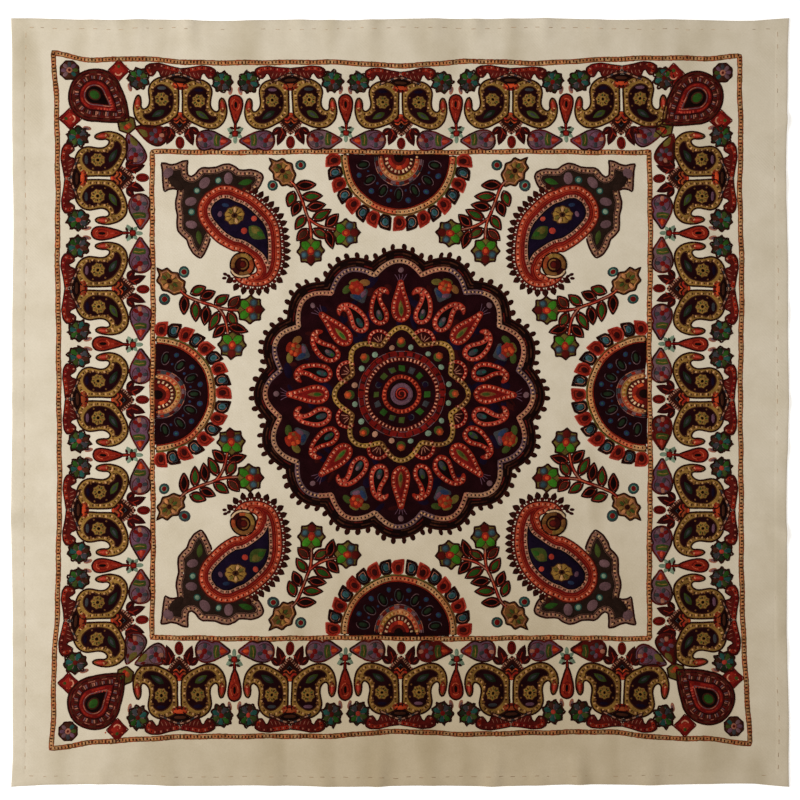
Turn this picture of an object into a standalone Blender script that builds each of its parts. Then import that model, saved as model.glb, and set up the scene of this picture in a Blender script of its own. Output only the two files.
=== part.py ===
"""Embroidered wool tablecloth, one metre square, lying flat with a rippled margin.

The cloth is one closed sheet. Its underside rests on the surface, its four edges are
turned over in a hem, and the stitched motifs stand a little proud of the ground cloth.
The script works in millimetres in plan, and makes the mesh in metres.
"""
from collections import namedtuple
from math import atan2, ceil, cos, hypot, pi, radians, sin

import bmesh
import bpy
from mathutils import Vector
from mathutils.geometry import delaunay_2d_cdt

MM = 0.001

# The cloth
CLOTH_WIDTH = 1000.0
CLOTH_DEPTH = 988.0
HEM_WIDTH = 12.0
HEM_STEP = 1.2
RIM_SPACING = 44.0
RIM_MERGE = 9.0

# Thickness of the sheet: plain ground, stitched motif, raised line in a motif, hem
GROUND = 1.5
STITCHED = 2.5
RAISED = 2.9
HEM = 3.0
EDGE_SLOPE = 1.4

# The free points between the motifs
GRID = 42.0
GRID_CLEAR = 15.0

# The embroidered field: its middle lies a little above the middle of the cloth
FIELD_X = -2.0
FIELD_Y = 11.0
INNER_LEFT = -318.0
INNER_RIGHT = 321.0
INNER_TOP = 322.0
INNER_BOTTOM = -303.0
FRAME_HALF_WIDTH = 3.2
FRAME_SPACING = 38.0

# Border band: five mirrored pairs of paisleys a side, and a drop in each corner
BAND = 118.0
UNIT_PITCH = 142.0
UNIT_SHIFT = {"top": 1.0, "bottom": 1.0, "left": 4.0, "right": 4.0}
UNITS = 5
PAIR_HEAD = (21.0, 92.0)
PAIR_LENGTH = 103.0
PAIR_HALF_WIDTH = 19.5
PAIR_HEADING = -95.0
PAIR_CURL = 240.0
PAIR_CURL_POWER = 2.1
DROP_IN = 58.0
DROP_LENGTH = 88.0
DROP_HALF_WIDTH = 33.0

# Centre medallion and the half medallions on the inner frame
LOBES = 16
MEDALLION_LOBE = 186.0
MEDALLION_CUSP = 173.0
STAR_TIP = 86.0
STAR_VALLEY = 68.0
STAR_POINTS = 8
HUB = 27.0
RING_DROPS = 24
RING_DROP_SPAN = (92.0, 142.0)
RING_DROP_HALF_WIDTH = 8.0
HALF_MEDALLION = 78.0
PETALS = 17
PETAL_SPAN = (81.0, 100.0)
PETAL_HALF_WIDTH = 6.0

# A paisley's half-width rises to its broadest place early, and its tail stops short
# of the point, where the stitches end.
BROAD_POWER = 0.42
TAIL_END = 0.95

# Corner paisleys: place of the head in the upper right quarter, and the form
BOTEH_HEAD = (249.0, 257.0)
BOTEH_LENGTH = 190.0
BOTEH_HALF_WIDTH = 32.0
BOTEH_HEADING = 216.0
BOTEH_CURL = 236.0
BOTEH_CURL_POWER = 3.5
CREST_CENTRE = (218.0, 228.0)
CREST_TURN = 36.7

# Frame line of the border: how far it lies from the cloth's middle, along each side.
# "along" runs to the right on the top and bottom, and upward on the left and right.
Station = namedtuple("Station", "along top bottom left right")
FRAME_STATIONS = [
    Station(-450, 450.0, 444.7, 448.6, 449.9),
    Station(-400, 441.0, 437.6, 446.0, 446.6),
    Station(-340, 441.5, 433.8, 444.7, 443.4),
    Station(-270, 436.5, 429.0, 439.6, 440.9),
    Station(-180, 437.5, 428.7, 438.9, 438.3),
    Station(-90, 437.0, 429.3, 438.0, 437.6),
    Station(0, 432.5, 422.2, 437.6, 438.0),
    Station(90, 439.0, 426.5, 438.8, 438.6),
    Station(180, 435.5, 424.8, 440.9, 438.3),
    Station(270, 441.0, 422.9, 439.2, 437.0),
    Station(340, 443.5, 431.2, 440.0, 438.7),
    Station(400, 442.0, 433.1, 442.1, 436.4),
    Station(450, 446.0, 439.0, 446.6, 435.7),
]

# Soft ripples of the margin, from the edge inward. "at" is the place along the side,
# "lean" how far the inner end is moved along it.
Ripple = namedtuple("Ripple", "side at half_width height reach lean")
RIPPLES = [
    Ripple("top", -396, 17, 2.4, 52, 4),
    Ripple("top", -337, 18, 3.0, 50, -3),
    Ripple("top", -272, 16, 4.6, 54, 2),
    Ripple("top", -190, 24, 2.2, 46, 0),
    Ripple("top", -129, 17, 3.0, 50, 3),
    Ripple("top", -88, 15, 2.6, 48, -2),
    Ripple("top", -40, 18, 3.2, 54, 2),
    Ripple("top", 45, 18, 2.8, 50, -3),
    Ripple("top", 96, 16, 3.2, 52, 2),
    Ripple("top", 140, 17, 2.6, 48, 4),
    Ripple("top", 186, 16, 3.4, 52, -2),
    Ripple("top", 250, 20, 3.0, 50, 3),
    Ripple("top", 340, 26, 2.0, 46, -4),
    Ripple("bottom", -386, 18, 2.6, 48, 6),
    Ripple("bottom", -296, 20, 3.2, 50, -4),
    Ripple("bottom", -164, 20, 3.2, 50, 5),
    Ripple("bottom", -95, 17, 2.2, 44, 0),
    Ripple("bottom", -28, 16, 5.0, 54, 4),
    Ripple("bottom", 40, 18, 2.4, 46, -3),
    Ripple("bottom", 118, 17, 4.6, 54, 8),
    Ripple("bottom", 178, 18, 2.4, 46, -4),
    Ripple("bottom", 231, 17, 4.8, 54, -6),
    Ripple("bottom", 321, 22, 3.2, 50, 4),
    Ripple("bottom", 400, 20, 2.0, 44, 0),
    Ripple("left", 296, 24, 3.0, 48, 6),
    Ripple("left", 170, 24, 2.6, 46, -8),
    Ripple("left", 3, 16, 2.6, 50, 0),
    Ripple("left", -147, 22, 3.4, 52, 22),
    Ripple("left", -300, 26, 2.4, 46, -6),
    Ripple("right", 363, 17, 5.4, 54, -26),
    Ripple("right", 280, 22, 2.8, 48, 8),
    Ripple("right", 116, 24, 2.6, 48, -10),
    Ripple("right", 0, 16, 2.4, 50, 0),
    Ripple("right", -60, 20, 2.2, 46, 6),
    Ripple("right", -170, 17, 5.0, 54, 24),
    Ripple("right", -320, 26, 2.4, 46, 8),
]

# The slow wander of each edge: two waves, as height and number along the side
Wander = namedtuple("Wander", "slow slow_waves quick quick_waves phase")
WANDERS = {
    "top": Wander(1.1, 1.5, 0.6, 6.0, 0.4),
    "bottom": Wander(1.4, 1.0, 0.7, 5.0, 1.9),
    "left": Wander(1.0, 1.5, 0.5, 4.0, 2.6),
    "right": Wander(1.3, 2.0, 0.6, 5.0, 0.9),
}

# Half of the crest over a corner paisley, from its wing tip to its point: distance
# toward the corner, and to the side.
CREST_HALF = [(-2, 67), (10, 63), (22, 55), (33, 53), (44, 49), (51, 38), (62, 33), (69, 24),
              (71, 13), (82, 19), (84, 28), (98, 13), (112, 0)]

# Blooms and bud of a spray, in the upper right quarter: middle and radius
SPRAY_BLOOMS = [((70, 208), 17), ((115, 182), 17), ((152, 281), 18)]
SPRAY_SWAP_SHIFT = (8.0, -4.0)

# Colours of the wool, from the photograph
YARNS = {
    "cream_wool_cloth": (0.62, 0.52, 0.38),
    "dark_plum_yarn": (0.030, 0.008, 0.014),
    "brick_red_yarn": (0.28, 0.030, 0.016),
    "salmon_yarn": (0.38, 0.12, 0.065),
    "ochre_yarn": (0.27, 0.17, 0.06),
    "slate_green_yarn": (0.035, 0.075, 0.045),
}
YARN_ROUGHNESS = 0.9
YARN_NAMES = list(YARNS)


def smooth_lookup(x, xs, ys):
    """Read a smooth curve through the table's points at x."""
    last = len(xs) - 1
    x = min(max(x, xs[0]), xs[last])
    k = 0
    while k < last - 1 and x > xs[k + 1]:
        k += 1
    t = (x - xs[k]) / (xs[k + 1] - xs[k])
    before = ys[max(k - 1, 0)]
    after = ys[min(k + 2, last)]
    a, b = ys[k], ys[k + 1]
    return 0.5 * (2 * a + (b - before) * t + (2 * before - 5 * a + 4 * b - after) * t ** 2
                  + (3 * a - before - 3 * b + after) * t ** 3)


def frame_offset(side, along):
    """Distance of the border's frame line from the cloth's middle."""
    xs = [s.along for s in FRAME_STATIONS]
    ys = [getattr(s, side) for s in FRAME_STATIONS]
    return smooth_lookup(along, xs, ys)


def side_point(side, along, out):
    """Plan point of a place along a side, "out" from the cloth's middle."""
    return {"top": (along, out), "bottom": (along, -out),
            "left": (-out, along), "right": (out, along)}[side]


def half_span(side):
    return CLOTH_DEPTH / 2 if side in ("top", "bottom") else CLOTH_WIDTH / 2


def edge_wander(side, along):
    """How far the cut edge strays from straight, inward."""
    w = WANDERS[side]
    u = along / CLOTH_WIDTH
    slow = w.slow * sin(2 * pi * w.slow_waves * u + w.phase)
    quick = w.quick * sin(2 * pi * w.quick_waves * u + 2 * w.phase)
    return w.slow + w.quick - slow - quick


def ripple_height(x, y):
    """Height of the cloth's underside over the surface."""
    places = {"top": (x, y), "bottom": (x, -y), "left": (y, -x), "right": (y, x)}
    height = 0.0
    for r in RIPPLES:
        along, out = places[r.side]
        depth = half_span(r.side) - out
        if depth >= r.reach:
            continue
        inward = max(depth, 0.0) / r.reach
        across = (along - r.at - r.lean * inward) / r.half_width
        if abs(across) < 1.0:
            height += r.height * (1 - inward) ** 1.2 * cos(across * pi / 2) ** 2
    return height


class Plan:
    """The flat layout: points with the sheet's thickness, edges, and stitched areas."""

    def __init__(self):
        self.points = []
        self.thickness = []
        self.edges = []
        self.areas = []

    def add_points(self, points, thickness):
        first = len(self.points)
        self.points += points
        self.thickness += [thickness] * len(points)
        return first

    def add_loop(self, points, thickness):
        first = self.add_points(points, thickness)
        count = len(points)
        self.edges += [(first + i, first + (i + 1) % count) for i in range(count)]

    def add_raised(self, points, top, yarn, foot=GROUND):
        """A stitched area: its outline at the foot, and the same drawn in, on top."""
        self.add_loop(points, foot)
        inner = drawn_in(points, EDGE_SLOPE)
        self.add_loop(inner, top)
        self.areas.append((points, top, yarn))

    def thickness_at(self, x, y, otherwise=GROUND):
        found = otherwise
        for outline, top, _ in self.areas:
            if inside(x, y, outline):
                found = top
        return found

    def yarn_at(self, x, y):
        found = YARN_NAMES[0]
        for outline, _, yarn in self.areas:
            if inside(x, y, outline):
                found = yarn
        return found


def inside(x, y, outline):
    """Whether a point lies within a closed outline."""
    within = False
    x2, y2 = outline[-1]
    for x1, y1 in outline:
        if (y1 > y) != (y2 > y) and x < (x2 - x1) * (y - y1) / (y2 - y1) + x1:
            within = not within
        x2, y2 = x1, y1
    return within


def area_of(outline):
    return sum(a[0] * b[1] - b[0] * a[1] for a, b in zip(outline, outline[1:] + outline[:1])) / 2


def drawn_in(outline, distance):
    """The outline moved inward by a distance, corner by corner."""
    turn = 1 if area_of(outline) > 0 else -1
    count = len(outline)
    moved = []
    for i in range(count):
        before = Vector(outline[i - 1])
        here = Vector(outline[i])
        after = Vector(outline[(i + 1) % count])
        one = (here - before).normalized()
        two = (after - here).normalized()
        inward = turn * Vector((-one.y - two.y, one.x + two.x))
        inward.normalize()
        moved.append(tuple(here + inward * distance))
    return moved


def polar_loop(centre, radius_at, count, start=0.0):
    """Closed loop about a centre, with the radius given by an angle."""
    angles = [start + 2 * pi * i / count for i in range(count)]
    return [(centre[0] + radius_at(a) * cos(a), centre[1] + radius_at(a) * sin(a)) for a in angles]


def paisley(length, half_width, heading, curl, power, steps):
    """Outline of a paisley: a round head at the origin, and a tail that curls."""
    t_of = [TAIL_END * (i / steps) ** 1.7 for i in range(steps + 1)]
    x = y = 0.0
    left, right = [], []
    for i in range(1, steps + 1):
        t = (t_of[i] + t_of[i - 1]) / 2
        way = radians(heading + curl * t ** power)
        x += cos(way) * length * (t_of[i] - t_of[i - 1])
        y += sin(way) * length * (t_of[i] - t_of[i - 1])
        half = half_width * sin(pi * t_of[i] ** BROAD_POWER)
        way = radians(heading + curl * t_of[i] ** power)
        left.append((x - sin(way) * half, y + cos(way) * half))
        right.append((x + sin(way) * half, y - cos(way) * half))
    return [(0.0, 0.0)] + left + right[::-1]


def placed(outline, place, turn=0.0, mirror=(1, 1)):
    """Turn an outline, move it, and mirror it into one quarter of the field."""
    c, s = cos(radians(turn)), sin(radians(turn))
    out = []
    for x, y in outline:
        px = place[0] + c * x - s * y
        py = place[1] + s * x + c * y
        out.append((FIELD_X + mirror[0] * px, FIELD_Y + mirror[1] * py))
    return out


def rim_stations(side, depth, low, high):
    """Places along a side where its edge needs a point: ripples first, then the rest."""
    wanted = []
    for r in RIPPLES:
        if r.side != side:
            continue
        middle = r.at + r.lean * depth / r.reach
        wanted += [middle, middle - r.half_width, middle + r.half_width]
    kept = [low, high]
    for place in wanted:
        if all(abs(place - other) > RIM_MERGE for other in kept):
            kept.append(place)
    kept.sort()
    filled = []
    for a, b in zip(kept, kept[1:]):
        parts = max(1, ceil((b - a) / RIM_SPACING))
        filled += [a + (b - a) * i / parts for i in range(parts)]
    return filled


def rim_loop(depth):
    """Closed loop around the cloth, a given depth in from its edge."""
    w, d = CLOTH_WIDTH / 2 - depth, CLOTH_DEPTH / 2 - depth
    loop = []
    for side, half, direction in (("bottom", w, 1), ("right", d, 1), ("top", w, -1), ("left", d, -1)):
        stations = rim_stations(side, depth, -half, half)
        if direction < 0:
            stations = [half] + stations[:0:-1]
        for along in stations:
            at_corner = min(1.0, (half - abs(along)) / RIM_SPACING)
            out = half_span(side) - depth - edge_wander(side, along) * at_corner
            loop.append(side_point(side, along, out))
    return loop


def add_cloth(plan):
    """The cut edge, and the step where the turned hem ends."""
    plan.add_loop(rim_loop(0.0), HEM)
    plan.add_loop(rim_loop(HEM_WIDTH), HEM)
    plan.add_loop(rim_loop(HEM_WIDTH + HEM_STEP), GROUND)
    for r in RIPPLES:
        for inward, across in ((0.5, 0.0), (0.55, -0.9), (0.55, 0.9), (1.0, 0.0)):
            along = r.at + r.lean * inward + r.half_width * across
            if inward * r.reach > HEM_WIDTH + 2 * HEM_STEP:
                point = side_point(r.side, along, half_span(r.side) - inward * r.reach * 0.86)
                plan.add_points([point], GROUND)


def add_line(plan, loop_at, yarn):
    """A raised line all round: foot, crest, foot."""
    plan.add_loop(loop_at(FRAME_HALF_WIDTH), GROUND)
    plan.add_loop(loop_at(0.0), RAISED)
    plan.add_loop(loop_at(-FRAME_HALF_WIDTH), GROUND)
    plan.areas.append((loop_at(FRAME_HALF_WIDTH), STITCHED, yarn))
    plan.areas.append((loop_at(-FRAME_HALF_WIDTH), GROUND, YARN_NAMES[0]))


def outer_frame(grow):
    """The frame line outside the border, which strays with the cloth."""
    loop = []
    steps = int(2 * 440 / FRAME_SPACING)
    for side, direction in (("bottom", 1), ("right", 1), ("top", -1), ("left", -1)):
        crossing = "left" if side in ("bottom", "top") else "bottom"
        opposite = "right" if crossing == "left" else "top"
        far = 450.0 if side in ("top", "right") else -450.0
        low = -frame_offset(crossing, far) - grow
        high = frame_offset(opposite, far) + grow
        for i in range(steps):
            along = low + (high - low) * (i / steps if direction > 0 else 1 - i / steps)
            loop.append(side_point(side, along, frame_offset(side, along) + grow))
    return loop


def inner_frame(grow):
    """The frame line between the border and the field."""
    left, right = INNER_LEFT - grow, INNER_RIGHT + grow
    bottom, top = INNER_BOTTOM - grow, INNER_TOP + grow
    corners = [(left, bottom), (right, bottom), (right, top), (left, top)]
    loop = []
    for a, b in zip(corners, corners[1:] + corners[:1]):
        steps = ceil(hypot(b[0] - a[0], b[1] - a[1]) / FRAME_SPACING)
        loop += [(a[0] + (b[0] - a[0]) * i / steps, a[1] + (b[1] - a[1]) * i / steps)
                 for i in range(steps)]
    return loop


def add_petal(plan, centre, angle, span, half_width, foot, yarn):
    """A drop that points away from a centre: a kite with one high point."""
    near, far = span
    broad = near + (far - near) * 0.4
    kite = [(near, 0.0), (broad, half_width), (far, 0.0), (broad, -half_width)]
    c, s = cos(angle), sin(angle)
    loop = [(centre[0] + r * c - v * s, centre[1] + r * s + v * c) for r, v in kite]
    plan.add_loop(loop, foot)
    plan.add_points([(centre[0] + broad * c, centre[1] + broad * s)], RAISED)
    plan.areas.append((loop, STITCHED, yarn))


def add_medallion(plan):
    """Centre medallion: a lobed disc, an eight-pointed star line and a round hub."""
    centre = (FIELD_X, FIELD_Y)

    def lobed(angle):
        return MEDALLION_CUSP + (MEDALLION_LOBE - MEDALLION_CUSP) * abs(cos(angle * LOBES / 2))

    def star(grow):
        return lambda angle: (STAR_VALLEY + grow
                              + (STAR_TIP - STAR_VALLEY) * abs(cos(angle * STAR_POINTS / 2)) ** 1.5)

    plan.add_raised(polar_loop(centre, lobed, LOBES * 6), STITCHED, "dark_plum_yarn")
    count = STAR_POINTS * 6
    for grow, thickness in ((3.0, STITCHED), (0.0, RAISED), (-3.0, STITCHED)):
        plan.add_loop(polar_loop(centre, star(grow), count), thickness)
    plan.areas.append((polar_loop(centre, star(3.0), count), STITCHED, "ochre_yarn"))
    plan.areas.append((polar_loop(centre, star(-3.0), count), STITCHED, "dark_plum_yarn"))
    plan.add_raised(polar_loop(centre, lambda angle: HUB, 20), RAISED, "brick_red_yarn", STITCHED)
    for k in range(RING_DROPS):
        angle = 2 * pi * k / RING_DROPS
        add_petal(plan, centre, angle, RING_DROP_SPAN, RING_DROP_HALF_WIDTH, STITCHED, "salmon_yarn")


def add_half_medallions(plan):
    """A half disc on the middle of each side of the inner frame."""
    clear = FRAME_HALF_WIDTH + 1.5
    for side, line in (("top", INNER_TOP), ("bottom", -INNER_BOTTOM),
                       ("left", -INNER_LEFT), ("right", INNER_RIGHT)):
        middle = FIELD_X if side in ("top", "bottom") else FIELD_Y
        loop = []
        for i in range(17):
            angle = pi * i / 16
            along = middle + HALF_MEDALLION * cos(angle)
            loop.append(side_point(side, along, line - clear - HALF_MEDALLION * sin(angle)))
        plan.add_raised(loop, STITCHED, "dark_plum_yarn")
        centre = side_point(side, middle, line - clear)
        inward = {"top": -pi / 2, "bottom": pi / 2, "left": 0.0, "right": pi}[side]
        for k in range(1, PETALS - 1):
            angle = inward + pi * ((k + 0.5) / PETALS - 0.5)
            yarn = "slate_green_yarn" if k % 2 else "brick_red_yarn"
            add_petal(plan, centre, angle, PETAL_SPAN, PETAL_HALF_WIDTH, GROUND, yarn)


def add_corner_paisleys(plan):
    """A large paisley and its crest in each quarter of the field."""
    body = paisley(BOTEH_LENGTH, BOTEH_HALF_WIDTH, BOTEH_HEADING, BOTEH_CURL, BOTEH_CURL_POWER, 17)
    crest = CREST_HALF + [(u, -v) for u, v in CREST_HALF[-2::-1]]
    back = [(r * cos(radians(a)), r * sin(radians(a)))
            for a, r in ((-70, 43), (-35, 45), (0, 46), (35, 45), (70, 43))]
    for sx in (1, -1):
        for sy in (1, -1):
            plan.add_raised(placed(body, BOTEH_HEAD, mirror=(sx, sy)), STITCHED, "brick_red_yarn")
            wing = placed(crest + back, CREST_CENTRE, turn=CREST_TURN, mirror=(sx, sy))
            plan.add_raised(wing, STITCHED, "slate_green_yarn")


def band_point(side, along, up):
    """Plan point in the border, "up" from the inner frame line to the outer one."""
    inner = {"top": INNER_TOP, "bottom": -INNER_BOTTOM, "left": -INNER_LEFT, "right": INNER_RIGHT}[side]
    outer = frame_offset(side, along)
    return side_point(side, along, inner + (outer - inner) * up / BAND)


def add_border(plan):
    """Mirrored pairs of paisleys along each side, and a drop in each corner."""
    half = paisley(PAIR_LENGTH, PAIR_HALF_WIDTH, PAIR_HEADING, PAIR_CURL, PAIR_CURL_POWER, 9)
    head_x, head_up = PAIR_HEAD
    for side in ("top", "bottom", "left", "right"):
        for k in range(UNITS):
            middle = (k - (UNITS - 1) / 2) * UNIT_PITCH + UNIT_SHIFT[side]
            for mirror in (1, -1):
                loop = [band_point(side, middle + mirror * (head_x + x), head_up + y) for x, y in half]
                plan.add_raised(loop, STITCHED, "ochre_yarn")
    drop = paisley(DROP_LENGTH, DROP_HALF_WIDTH, 0.0, 0.0, 1.0, 9)
    for sx in (1, -1):
        for sy in (1, -1):
            side = "right" if sx > 0 else "left"
            corner_x = sx * frame_offset(side, sy * 450.0)
            corner_y = sy * frame_offset("top" if sy > 0 else "bottom", sx * 450.0)
            toward = atan2(-sy, -sx)
            loop = []
            for x, y in drop:
                reach = x - DROP_HALF_WIDTH
                loop.append((corner_x - sx * DROP_IN + reach * cos(toward) - y * sin(toward),
                             corner_y - sy * DROP_IN + reach * sin(toward) + y * cos(toward)))
            plan.add_raised(loop, STITCHED, "brick_red_yarn")


def add_sprays(plan):
    """The blooms of the eight flower sprays, each as a low dome."""
    for sx in (1, -1):
        for sy in (1, -1):
            for swap in (False, True):
                for (x, y), radius in SPRAY_BLOOMS:
                    place = (y + SPRAY_SWAP_SHIFT[0], x + SPRAY_SWAP_SHIFT[1]) if swap else (x, y)
                    centre = (FIELD_X + sx * place[0], FIELD_Y + sy * place[1])
                    loop = polar_loop(centre, lambda angle: radius, 7)
                    plan.add_loop(loop, GROUND)
                    plan.add_points([centre], RAISED)
                    plan.areas.append((loop, STITCHED, "slate_green_yarn"))


def add_grid(plan):
    """Free points where the layout is bare, so that no triangle is long and thin."""
    inner_w = CLOTH_WIDTH / 2 - HEM_WIDTH - GRID_CLEAR
    inner_d = CLOTH_DEPTH / 2 - HEM_WIDTH - GRID_CLEAR
    across = int(inner_w / GRID)
    deep = int(inner_d / GRID)
    for i in range(-across, across + 1):
        for j in range(-deep, deep + 1):
            x, y = i * GRID, j * GRID
            if all(hypot(x - px, y - py) > GRID_CLEAR for px, py in plan.points):
                plan.add_points([(x, y)], plan.thickness_at(x, y))


def new_material(name, colour):
    material = bpy.data.materials.new(name)
    material.use_nodes = True
    shader = material.node_tree.nodes["Principled BSDF"]
    shader.inputs["Base Color"].default_value = (*colour, 1.0)
    shader.inputs["Roughness"].default_value = YARN_ROUGHNESS
    shader.inputs["Metallic"].default_value = 0.0
    return material


def build_sheet(plan, name):
    """The underside as a mesh, thickened upward by each point's own thickness."""
    flat = [Vector(p) for p in plan.points]
    points, _, faces, origins, _, _ = delaunay_2d_cdt(flat, plan.edges, [], 1, 1e-4)
    mesh = bpy.data.meshes.new(name)
    corners = [(p.x * MM, p.y * MM, ripple_height(p.x, p.y) * MM) for p in points]
    mesh.from_pydata(corners, [], faces)
    for yarn, colour in YARNS.items():
        mesh.materials.append(new_material(yarn, colour))
    for face in mesh.polygons:
        middle = sum((points[i] for i in face.vertices), Vector((0, 0))) / len(face.vertices)
        face.material_index = YARN_NAMES.index(plan.yarn_at(middle.x, middle.y))
    shape = bmesh.new()
    shape.from_mesh(mesh)
    for face in shape.faces:
        if face.normal.z < 0:
            face.normal_flip()
    shape.to_mesh(mesh)
    shape.free()

    cloth = bpy.data.objects.new(name, mesh)
    weights = cloth.vertex_groups.new(name="thickness")
    for i, sources in enumerate(origins):
        if sources:
            thickness = max(plan.thickness[s] for s in sources)
        else:
            thickness = plan.thickness_at(points[i].x, points[i].y)
        weights.add([i], thickness / HEM, "REPLACE")
    solid = cloth.modifiers.new("thickness", "SOLIDIFY")
    solid.thickness = HEM * MM
    solid.offset = 1.0
    solid.vertex_group = weights.name
    solid.use_rim = True
    return cloth


def main():
    for old in list(bpy.data.objects):
        bpy.data.objects.remove(old)
    plan = Plan()
    add_cloth(plan)
    add_line(plan, outer_frame, "salmon_yarn")
    add_line(plan, inner_frame, "salmon_yarn")
    add_medallion(plan)
    add_half_medallions(plan)
    add_corner_paisleys(plan)
    add_border(plan)
    add_sprays(plan)
    add_grid(plan)
    cloth = build_sheet(plan, "tablecloth")
    collection = bpy.data.collections.new("embroidered_tablecloth")
    bpy.context.scene.collection.children.link(collection)
    collection.objects.link(cloth)


main()
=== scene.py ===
"""Looks of the embroidered wool tablecloth: its twill cloth and every stitched motif.

Plan lengths are millimetres until a mesh is made, which is in metres. A motif is drawn
in its own coordinates, and a place function sets it on the cloth.
"""
from collections import namedtuple
from math import atan2, cos, hypot, pi, radians, sin

import bpy
import numpy as np
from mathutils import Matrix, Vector
from mathutils.geometry import delaunay_2d_cdt


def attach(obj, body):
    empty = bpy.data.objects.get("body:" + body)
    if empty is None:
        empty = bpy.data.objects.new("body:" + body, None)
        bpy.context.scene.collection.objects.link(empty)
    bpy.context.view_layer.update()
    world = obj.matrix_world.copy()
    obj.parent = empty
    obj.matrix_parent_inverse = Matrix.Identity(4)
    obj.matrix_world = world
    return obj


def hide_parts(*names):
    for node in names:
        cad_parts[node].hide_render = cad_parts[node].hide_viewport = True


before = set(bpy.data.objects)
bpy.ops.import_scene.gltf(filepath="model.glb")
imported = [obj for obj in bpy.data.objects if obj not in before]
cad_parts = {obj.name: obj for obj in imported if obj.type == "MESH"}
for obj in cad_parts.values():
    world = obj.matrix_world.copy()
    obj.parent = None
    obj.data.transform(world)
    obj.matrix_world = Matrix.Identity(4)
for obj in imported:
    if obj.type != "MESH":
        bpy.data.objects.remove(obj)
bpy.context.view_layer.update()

MM = 0.001
RNG = np.random.default_rng(918)

# The cloth, as in the solid it replaces
CLOTH_WIDTH = 1000.0
CLOTH_DEPTH = 988.0
CLOTH_STEP = 5.0

# The hem's section: depth from the edge, and height of the upper and lower face there
HEM_DEPTHS = (0.0, 0.35, 1.0, 2.4, 5.0, 8.5, 12.0, 14.5, 16.0, 17.0, 18.2, 20.0)
HEM_TOPS = (1.2, 1.9, 2.3, 2.5, 2.45, 2.4, 2.35, 2.2, 1.95, 1.75, 1.85, 1.8)
HEM_UNDERS = (1.2, 0.5, 0.15, 0.0, 0.0, 0.0, 0.0, 0.0, 0.05, 0.3, 0.45, 0.5)

# The embroidered field, and the border around it
FIELD_X = -2.0
FIELD_Y = 11.0
INNER = {"top": 322.0, "bottom": 303.0, "left": 318.0, "right": 321.0}
SIDES = ("top", "bottom", "left", "right")
BAND = 118.0
UNIT_PITCH = 142.0
UNIT_SHIFT = {"top": 1.0, "bottom": 1.0, "left": 4.0, "right": 4.0}
UNITS = 5

# Stitching: how far cords, blocks and fills stand up, and how deep their edges go
CORD_RISE = 0.55
DOT_RISE = 0.3
FILL = 0.45
FILL_SLOPE = 0.7
LAYER = 0.25
SUNK = 0.5

# Frame line of the border: how far it lies from the cloth's middle, along each side
FRAME_ALONG = (-450, -400, -340, -270, -180, -90, 0, 90, 180, 270, 340, 400, 450)
FRAME_LINE = {
    "top": (450.0, 441.0, 441.5, 436.5, 437.5, 437.0, 432.5, 439.0, 435.5, 441.0, 443.5, 442.0, 446.0),
    "bottom": (444.7, 437.6, 433.8, 429.0, 428.7, 429.3, 422.2, 426.5, 424.8, 422.9, 431.2, 433.1, 439.0),
    "left": (448.6, 446.0, 444.7, 439.6, 438.9, 438.0, 437.6, 438.8, 440.9, 439.2, 440.0, 442.1, 446.6),
    "right": (449.9, 446.6, 443.4, 440.9, 438.3, 437.6, 438.0, 438.6, 438.3, 437.0, 438.7, 436.4, 435.7),
}

# Soft ripples of the margin, from the edge inward
Ripple = namedtuple("Ripple", "side at half_width height reach lean")
RIPPLE_ROWS = {
    "top": [(-396, 17, 2.4, 52, 4), (-337, 18, 3.0, 50, -3), (-272, 16, 4.6, 54, 2),
            (-190, 24, 2.2, 46, 0), (-129, 17, 3.0, 50, 3), (-88, 15, 2.6, 48, -2),
            (-40, 18, 3.2, 54, 2), (45, 18, 2.8, 50, -3), (96, 16, 3.2, 52, 2), (140, 17, 2.6, 48, 4),
            (186, 16, 3.4, 52, -2), (250, 20, 3.0, 50, 3), (340, 26, 2.0, 46, -4)],
    "bottom": [(-386, 18, 2.6, 48, 6), (-296, 20, 3.2, 50, -4), (-164, 20, 3.2, 50, 5),
               (-95, 17, 2.2, 44, 0), (-28, 16, 5.0, 54, 4), (40, 18, 2.4, 46, -3),
               (118, 17, 4.6, 54, 8), (178, 18, 2.4, 46, -4), (231, 17, 4.8, 54, -6),
               (321, 22, 3.2, 50, 4), (400, 20, 2.0, 44, 0)],
    "left": [(296, 24, 3.0, 48, 6), (170, 24, 2.6, 46, -8), (3, 16, 2.6, 50, 0),
             (-147, 22, 3.4, 52, 22), (-300, 26, 2.4, 46, -6)],
    "right": [(363, 17, 5.4, 54, -26), (280, 22, 2.8, 48, 8), (116, 24, 2.6, 48, -10),
              (0, 16, 2.4, 50, 0), (-60, 20, 2.2, 46, 6), (-170, 17, 5.0, 54, 24),
              (-320, 26, 2.4, 46, 8)],
}
RIPPLES = [Ripple(side, *row) for side, rows in RIPPLE_ROWS.items() for row in rows]

Wander = namedtuple("Wander", "slow slow_waves quick quick_waves phase")
WANDERS = {
    "top": Wander(1.1, 1.5, 0.6, 6.0, 0.4),
    "bottom": Wander(1.4, 1.0, 0.7, 5.0, 1.9),
    "left": Wander(1.0, 1.5, 0.5, 4.0, 2.6),
    "right": Wander(1.3, 2.0, 0.6, 5.0, 0.9),
}

# Faint waves of the cloth between its motifs: height, wave length across and along, phase
Pucker = namedtuple("Pucker", "height across along phase")
PUCKERS = [
    Pucker(0.16, 96.0, 240.0, 0.3),
    Pucker(0.14, -130.0, 88.0, 1.7),
    Pucker(0.12, 61.0, -74.0, 2.9),
    Pucker(0.08, -47.0, -51.0, 4.1),
]
STORAGE_CREASE = 0.2
STORAGE_CREASE_WIDTH = 7.0

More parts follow.
